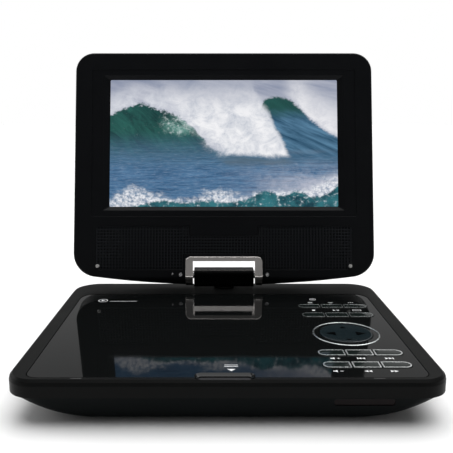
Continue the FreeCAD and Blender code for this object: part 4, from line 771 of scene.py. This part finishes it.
def nav_pad():
    """The dished navigation pad with its four arrow marks, and the light ring round it."""
    low, high = box_mm("nav_pad")
    cx, cy = (low.x + high.x) / 2, (low.y + high.y) / 2
    r = (high.x - low.x) / 2 - KEY_FLANGE
    dish = [(r, -1.8), (r, -0.35), (r - 0.1, -0.12), (r - 0.35, -0.02), (r - 0.7, 0.0), (r - 1.3, -0.08),
            (r - 3.0, -0.32), (r - 6.0, -0.60), (r - 10.0, -0.72), (0.6, -0.74)]
    verts, faces = lofted(turned_rings(dish, cx, cy, high.z, 72))
    pad = add_piece("nav_cap", verts, faces, in_frame, "nav_button", PAD_GLOSS, smooth=True)
    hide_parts("nav_pad")

    long_arrow = [(5.6, -2.3), (11.6, 0.0), (5.6, 2.3)]
    short_arrow = [(8.4, -1.5), (11.2, 0.0), (8.4, 1.5)]
    marks = []
    for quarter in range(4):
        turn = math.pi / 2 * quarter
        c, s = math.cos(turn), math.sin(turn)
        shape = short_arrow if quarter % 2 else long_arrow
        points = [(cx + x * c - y * s, cy + x * s + y * c) for x, y in shape]
        marks.append(slab(points, high.z - 0.62, high.z - 0.36))
    verts, faces = merged(*marks)
    add_piece("nav_marks", verts, faces, in_frame, "nav_button", NAV_INK)

    bead = [(r + 2.9, -0.02), (r + 2.95, 0.10), (r + 3.25, 0.24), (r + 3.55, 0.24), (r + 3.8, 0.10),
            (r + 3.85, -0.02)]
    verts, faces = lofted(turned_rings(bead, cx, cy, TOP, 96), closed=True)
    add_piece("nav_ring", verts, faces, in_frame, "door", KEY_BAND_GREYER, smooth=True)


# ---- printed marks on the door ----
PRINT = 0.04                                 # how thick the print stands
PRINT_LIFT = 0.005
SIGN_HEIGHT = 2.0
ROW_A_SIGNS, ROW_B_SIGNS, ROW_C_SIGNS, ROW_D_SIGNS = 114.6, 99.6, 25.5, 10.4
PLAY_SIGN = (-76.5, 119.0)
DISC_SIGN = (56.0, 121.6)
CLOSE_SIGN_X = 1.8


def frame_mark(x0, x1, y0, y1, r, line):
    """A printed outline of a round-cornered rectangle."""
    outer = round_box(x0, x1, y0, y1, r)
    inner = round_box(x0 + line, x1 - line, y0 + line, y1 - line, r - line)
    return band(outer, inner, 0, PRINT)


def skip_signs():
    """Previous and next in row c, rewind and forward in row d."""
    shapes = []
    for cx, way in ((65.2, -1), (78.4, 1)):
        shapes += [arrow(cx - 1.0, ROW_C_SIGNS, 1.7, SIGN_HEIGHT, way),
                   arrow(cx + 0.8, ROW_C_SIGNS, 1.7, SIGN_HEIGHT, way),
                   bar(cx + way * 2.0, ROW_C_SIGNS, 0.5, SIGN_HEIGHT)]
    for cx, way in ((64.8, -1), (77.0, 1)):
        shapes += [arrow(cx - 0.9, ROW_D_SIGNS, 1.8, SIGN_HEIGHT, way),
                   arrow(cx + 0.9, ROW_D_SIGNS, 1.8, SIGN_HEIGHT, way)]
    return shapes


def volume_signs():
    """A loudspeaker with plus in row c, and with minus in row d."""
    shapes = []
    for cx, cy, plus in ((51.6, ROW_C_SIGNS, True), (50.2, ROW_D_SIGNS, False)):
        left, right, neck, mouth = cx - 0.7, cx + 0.5, 0.5, 1.15
        shapes.append(bar(cx - 1.1, cy, 0.9, 1.0))
        shapes.append([(left, cy - neck), (right, cy - mouth), (right, cy + mouth), (left, cy + neck)])
        shapes.append(bar(cx + 2.4, cy, 1.6, 0.4))
        if plus:
            shapes.append(bar(cx + 2.4, cy, 0.4, 1.6))
    return shapes


def play_and_menu_signs():
    """Stop, play and pause in row b; menu lines, a title bar and set-up dots in row a."""
    shapes = [bar(53.3, ROW_B_SIGNS, 1.7, 1.9), arrow(65.7, ROW_B_SIGNS, 1.7, 2.1),
              bar(67.4, ROW_B_SIGNS, 0.4, 2.0), bar(68.2, ROW_B_SIGNS, 0.4, 2.0)]
    for k in range(3):
        shapes.append(bar(53.4, ROW_A_SIGNS - 0.8 + k * 0.8, 2.8, 0.36))
        shapes.append(disc_points(77.4 + k * 1.2, ROW_A_SIGNS, 0.42, 12))
    shapes += [bar(66.0, ROW_A_SIGNS + 0.3, 3.0, 0.4), bar(66.0, ROW_A_SIGNS - 0.7, 1.8, 0.4)]
    return shapes


def panel_marks():
    """All the white print on the door's panel, as one thin piece."""
    shapes = skip_signs() + volume_signs() + play_and_menu_signs()
    # a triangle and two bars by the finger notch
    shapes.append([(CLOSE_SIGN_X - 2.0, 12.9), (CLOSE_SIGN_X, 10.4), (CLOSE_SIGN_X + 2.0, 12.9)])
    shapes += [bar(CLOSE_SIGN_X, 15.6, 6.4, 0.5), bar(CLOSE_SIGN_X, 17.4, 6.4, 0.5)]
    # a play sign in a ring with a plain bar beside it, in the upper left corner
    shapes += [arrow(PLAY_SIGN[0] + 0.3, PLAY_SIGN[1], 2.4, 2.8), bar(-63.5, 117.6, 17.0, 0.5)]
    parts = [slab(points, 0.0, PRINT) for points in shapes]
    parts.append(round_band(*PLAY_SIGN, 3.0, 2.5, 0, PRINT))
    # the screen key's sign, and a plain disc sign
    parts.append(frame_mark(76.6, 81.8, ROW_B_SIGNS - 1.2, ROW_B_SIGNS + 1.2, 0.6, 0.36))
    parts.append(round_band(*DISC_SIGN, 2.0, 1.6, 0, PRINT, 36))
    parts.append(round_band(*DISC_SIGN, 0.75, 0.45, 0, PRINT, 24))
    verts, faces = merged(*parts)

    def on_panel(x, y, z):
        return on_base(x, y, z + PRINT_LIFT)

    add_piece("panel_marks", verts, faces, on_panel, "door", WHITE_INK)


# ---- screws ----
def cross_head(cx, cy, r, z0, z1, slot_long, slot_wide, depth):
    """A round screw head with a cross recess: the top face is cut as a twelve-cornered cross."""
    a, b = slot_long / 2, slot_wide / 2
    cross = []
    for quarter in range(4):
        c, s = ((1, 0), (0, 1), (-1, 0), (0, -1))[quarter]
        cross += [(x * c - y * s, x * s + y * c) for x, y in ((a, -b), (a, b), (b, b))]
    rim = []
    for x, y in cross:
        angle = math.atan2(y, x)
        rim.append((cx + r * math.cos(angle), cy + r * math.sin(angle)))

    def shrunk(points, share):
        return [((x - cx) * share + cx, (y - cy) * share + cy) for x, y in points]

    mouth = [(cx + x, cy + y) for x, y in cross]
    rings = [at_height(rim, z0), at_height(rim, z1 - 0.25), at_height(shrunk(rim, 0.86), z1),
             at_height(mouth, z1 - 0.02), at_height(shrunk(mouth, 0.55), z1 - depth)]
    return lofted(rings)


def lid_screws():
    heads = [cross_head(side * 29.0, 0.0, 1.35, HALF - 1.05, HALF - 0.1, 1.9, 0.42, 0.5) for side in (-1, 1)]
    verts, faces = merged(*heads)
    screws = add_piece("lid_screw_heads", verts, faces, on_lid, "lid", STEEL, smooth=True)
    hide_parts("lid_screws")


# ---- details of the drive, seen with the door open ----
BALL_R, BALL_CIRCLE_R = 0.85, 6.6
BALL_BELOW_TOP = 5.6


def hub_details():
    """Three steel balls round the hub's crown, and the felt ring that the disc lies on."""
    parts = []
    for k in range(3):
        angle = math.radians(90 + 120 * k)
        cx, cy = HUB.x + BALL_CIRCLE_R * math.cos(angle), HUB.y + BALL_CIRCLE_R * math.sin(angle)
        polars = [math.pi * turn / 8 for turn in range(1, 8)]
        ball = [(BALL_R * math.sin(polar), -BALL_R * math.cos(polar)) for polar in polars]
        parts.append(lofted(turned_rings(ball, cx, cy, TOP - BALL_BELOW_TOP, 16)))
    verts, faces = merged(*parts)
    add_piece("hub_balls", verts, faces, in_frame, "disc_spindle", STEEL, smooth=True)
    verts, faces = round_band(HUB.x, HUB.y, 12.4, 9.4, TOP - 6.6, TOP - 6.45, 64)
    add_piece("hub_felt", verts, faces, in_frame, "disc_spindle", RUBBER)


def lens_details():
    """The lens's glass dome and the brass ring round it."""
    middle, top = middle_mm("objective_lens"), box_mm("objective_lens")[1].z
    polars = [math.pi / 2 * k / 6.3 for k in range(7)]
    dome = [(2.5 * math.cos(polar), 0.85 * math.sin(polar)) for polar in polars]
    verts, faces = lofted(turned_rings(dome, middle.x, middle.y, top - 1.0, 32))
    add_piece("lens_glass", verts, faces, in_frame, "lens", LENS, smooth=True)
    verts, faces = round_band(middle.x, middle.y, 3.6, 2.7, top - 0.62, top - 0.4)
    add_piece("lens_ring", verts, faces, in_frame, "lens", BRASS, smooth=True)


# ---- sockets and small marks ----
SOCKET_BORES = {"headphone_jack": 1.8, "av_jack": 1.8, "dc_inlet": 2.8}
SIGN_BELOW_SOCKET = 4.5


def sockets():
    """A thin bright ring round the mouth of each socket."""
    parts = []
    for node, r in SOCKET_BORES.items():
        face = box_mm(node)[1].x
        parts.append(round_band(middle_mm(node).y, JACK_Z, r + 0.75, r + 0.04, face - 0.02, face + 0.08))
    verts, faces = merged(*parts)
    add_piece("socket_rings", verts, faces, lambda y, z, x: in_frame(x, y, z), "base", STEEL)


def rim_pads():
    """Two thin rubber pads on the front rim."""
    pads = []
    for x in (-68.0, 68.0):
        pads.append(soft_block(x - 2.6, x + 2.6, 1.75, 2.85, 0.5, -0.3, 0.12, 0.1))
    verts, faces = merged(*pads)
    add_piece("rim_pads", verts, faces, on_base, "base", RUBBER, smooth=True)


def pin_hole_ring():
    """The ring of a pin hole beside the left hinge screw."""
    verts, faces = round_band(-34.4, 0.4, 0.62, 0.36, HALF - 0.5, HALF + 0.02, 24)
    add_piece("pin_hole_ring", verts, faces, on_lid, "lid", STEEL)


def lid_back_plugs():
    """Round rubber plugs over the screws in the lid's back."""
    profile = ((3.0, HALF - 0.6), (3.0, HALF + 0.02), (2.7, HALF + 0.14), (1.2, HALF + 0.2))
    parts = []
    for x in (-88.0, 88.0):
        for up in (14.0, 137.0):
            parts.append(lofted([at_height(disc_points(x, up, r, 36), -out) for r, out in profile]))
    verts, faces = merged(*parts)
    faces = [tuple(reversed(face)) for face in faces]
    add_piece("lid_back_plugs", verts, faces, on_lid, "lid", RUBBER, smooth=True)


def socket_signs():
    """Printed signs under the sockets and the switch: headphones, a screen, DC, and on and off."""
    z = JACK_Z - SIGN_BELOW_SOCKET
    y = middle_mm("headphone_jack").y
    shapes = [arc_band(y, z, 1.1, 0.28, 0, 180)]
    shapes += [bar(y + shift, z - 0.4, 0.5, 0.9) for shift in (-0.95, 0.95)]
    y = middle_mm("dc_inlet").y
    shapes.append(bar(y, z + 0.35, 2.4, 0.28))
    shapes += [bar(y + shift, z - 0.35, 0.5, 0.28) for shift in (-0.95, 0.0, 0.95)]
    switch_y = middle_mm("power_switch_body").y
    shapes.append(bar(switch_y + 3.0, z, 0.3, 1.4))
    parts = [slab(points, 0.0, PRINT) for points in shapes]
    parts.append(round_band(switch_y - 3.0, z, 0.75, 0.47, 0.0, PRINT, 24))
    y = middle_mm("av_jack").y
    parts.append(frame_mark(y - 1.3, y + 1.3, z - 0.8, z + 0.8, 0.3, 0.28))
    verts, faces = merged(*parts)

    def on_side(along, up, out):
        return in_frame(SOCKET_FACE + PRINT_LIFT + out, along, up)

    add_piece("socket_signs", verts, faces, on_side, "base", WHITE_INK)


def rating_plate():
    """A blank rating plate under the base, with plain lines where its text would be."""
    sole = box_mm("bottom_case")[0].z
    plate_thick, line_thick = 0.06, 0.03

    def under(x, y, z):
        return in_frame(-x, FRONT + y, sole - z)

    verts, faces = slab(round_box(-24.0, 24.0, 62.0, 88.0, 1.5), 0.0, plate_thick)
    add_piece("rating_plate", verts, faces, under, "base", ALUMINIUM)
    shapes = [bar(-8.0, 84.0, 26.0, 1.2)]
    for k in range(5):
        shapes.append(bar(-4.0 + 3.0 * (k % 2), 80.0 - 3.0 * k, 34.0 - 6.0 * (k % 2), 0.7))
    shapes.append(arc_band(18.5, 82.5, 3.0, 0.5, 0, 359, 40))
    verts, faces = merged(*[slab(points, plate_thick, plate_thick + line_thick) for points in shapes])
    add_piece("rating_lines", verts, faces, under, "base", DARK_INK)


# ---- stage, lights and camera ----
FLOOR_SIZE = 12.0                            # metres along each side
# grey levels of the surroundings from straight below to straight above
SURROUNDINGS = ((0.0, 0.34), (0.18, 0.36), (0.28, 0.40), (0.46, 0.34), (0.55, 0.2), (0.75, 0.3), (1.0, 0.6))
FRONT_LEVEL = 0.45                           # their level in front of the player, against full behind it
SUN_ENERGY, SUN_SPREAD, SUN_TILT = 3.3, 80.0, (-12.0, 8.0)
FOCAL_SHARE = 1.379                          # focal length over the sensor's width
CAMERA_PLACE = (-5.3, -260.0, 117.8)         # on the base's own axes
CAMERA_PITCH = 10.5
CAMERA_SHIFT = 0.0232
SENSOR_WIDTH = 36.0


def stage():
    """A plain pale floor."""
    verts = at_height(bar(0.0, 0.0, FLOOR_SIZE, FLOOR_SIZE), 0.0)
    mesh = bpy.data.meshes.new("floor")
    mesh.from_pydata(verts, [], [(0, 1, 2, 3)])
    floor = bpy.data.objects.new("floor", mesh)
    bpy.context.scene.collection.objects.link(floor)
    g = Graph("floor_paper")
    g.set(Base_Color=g.mix(g.noise(8.0, 3.0), (0.90, 0.90, 0.90, 1), (0.93, 0.93, 0.93, 1)), Roughness=0.9)
    mesh.materials.append(g.material)


def grey(value):
    return (value, value, value, 1.0)


def world():
    """Dim soft surroundings for light and reflections; straight from the camera they are plain white."""
    sky = bpy.data.worlds.new("studio")
    bpy.context.scene.world = sky
    sky.use_nodes = True
    tree = sky.node_tree
    coords = tree.nodes.new("ShaderNodeTexCoord")
    split = tree.nodes.new("ShaderNodeSeparateXYZ")
    tree.links.new(coords.outputs["Generated"], split.inputs["Vector"])
    ramp = tree.nodes.new("ShaderNodeValToRGB")
    elements = ramp.color_ramp.elements
    elements[0].position, elements[0].color = SURROUNDINGS[0][0], grey(SURROUNDINGS[0][1])
    elements[1].position, elements[1].color = SURROUNDINGS[-1][0], grey(SURROUNDINGS[-1][1])
    for position, value in SURROUNDINGS[1:-1]:
        elements.new(position).color = grey(value)
    tree.links.new(split.outputs["Z"], ramp.inputs["Fac"])
    ahead = tree.nodes.new("ShaderNodeMapRange")
    ahead.inputs["From Min"].default_value = -0.6
    ahead.inputs["From Max"].default_value = 0.4
    ahead.inputs["To Min"].default_value = FRONT_LEVEL
    tree.links.new(split.outputs["Y"], ahead.inputs["Value"])
    level = tree.nodes.new("ShaderNodeVectorMath")
    level.operation = "SCALE"
    tree.links.new(ramp.outputs["Color"], level.inputs[0])
    tree.links.new(ahead.outputs["Result"], level.inputs["Scale"])
    path = tree.nodes.new("ShaderNodeLightPath")
    seen = tree.nodes.new("ShaderNodeMix")
    seen.data_type = "RGBA"
    tree.links.new(path.outputs["Is Camera Ray"], seen.inputs["Factor"])
    tree.links.new(level.outputs["Vector"], seen.inputs[6])
    seen.inputs[7].default_value = grey(1.0)
    background = tree.nodes["Background"]
    tree.links.new(seen.outputs[2], background.inputs["Color"])
    background.inputs["Strength"].default_value = 1.0


def lights():
    """A very soft sun overhead, and a weak soft box behind on the left for the rims."""
    overhead = bpy.data.lights.new("overhead", "SUN")
    overhead.energy = SUN_ENERGY
    overhead.angle = math.radians(SUN_SPREAD)
    lamp = bpy.data.objects.new("overhead", overhead)
    lamp.rotation_euler = (math.radians(SUN_TILT[0]), math.radians(SUN_TILT[1]), 0)
    bpy.context.scene.collection.objects.link(lamp)

    place, aim = Vector((-0.9, 0.25, 0.5)), Vector((0.0, 0.0, 0.06))
    box = bpy.data.lights.new("rim_left", "AREA")
    box.shape = "RECTANGLE"
    box.size, box.size_y = 0.25, 0.8
    box.energy = 2.0
    lamp = bpy.data.objects.new("rim_left", box)
    lamp.location = place
    lamp.rotation_euler = (aim - place).to_track_quat("-Z", "Y").to_euler()
    bpy.context.scene.collection.objects.link(lamp)


def camera():
    lens = bpy.data.cameras.new("camera")
    lens.sensor_width = SENSOR_WIDTH
    lens.lens = SENSOR_WIDTH * FOCAL_SHARE
    lens.shift_x = CAMERA_SHIFT
    lens.clip_start, lens.clip_end = 0.01, 50.0
    eye = bpy.data.objects.new("camera", lens)
    eye.location = on_base(*CAMERA_PLACE)
    eye.rotation_euler = (math.radians(90 - CAMERA_PITCH), 0.0, 0.0)
    bpy.context.scene.collection.objects.link(eye)
    bpy.context.scene.camera = eye


bpy.context.scene.view_settings.view_transform = "Standard"
camera()
world()
lights()
stage()
dress_nodes()
speaker_grille()
grille_shade_plates()
grille_surround()
screen()
for row_names in KEY_ROWS.values():
    for key_name in row_names:
        key(key_name)
nav_pad()
panel_marks()
lid_screws()
hub_details()
lens_details()
sockets()
rim_pads()
pin_hole_ring()
lid_back_plugs()
socket_signs()
rating_plate()
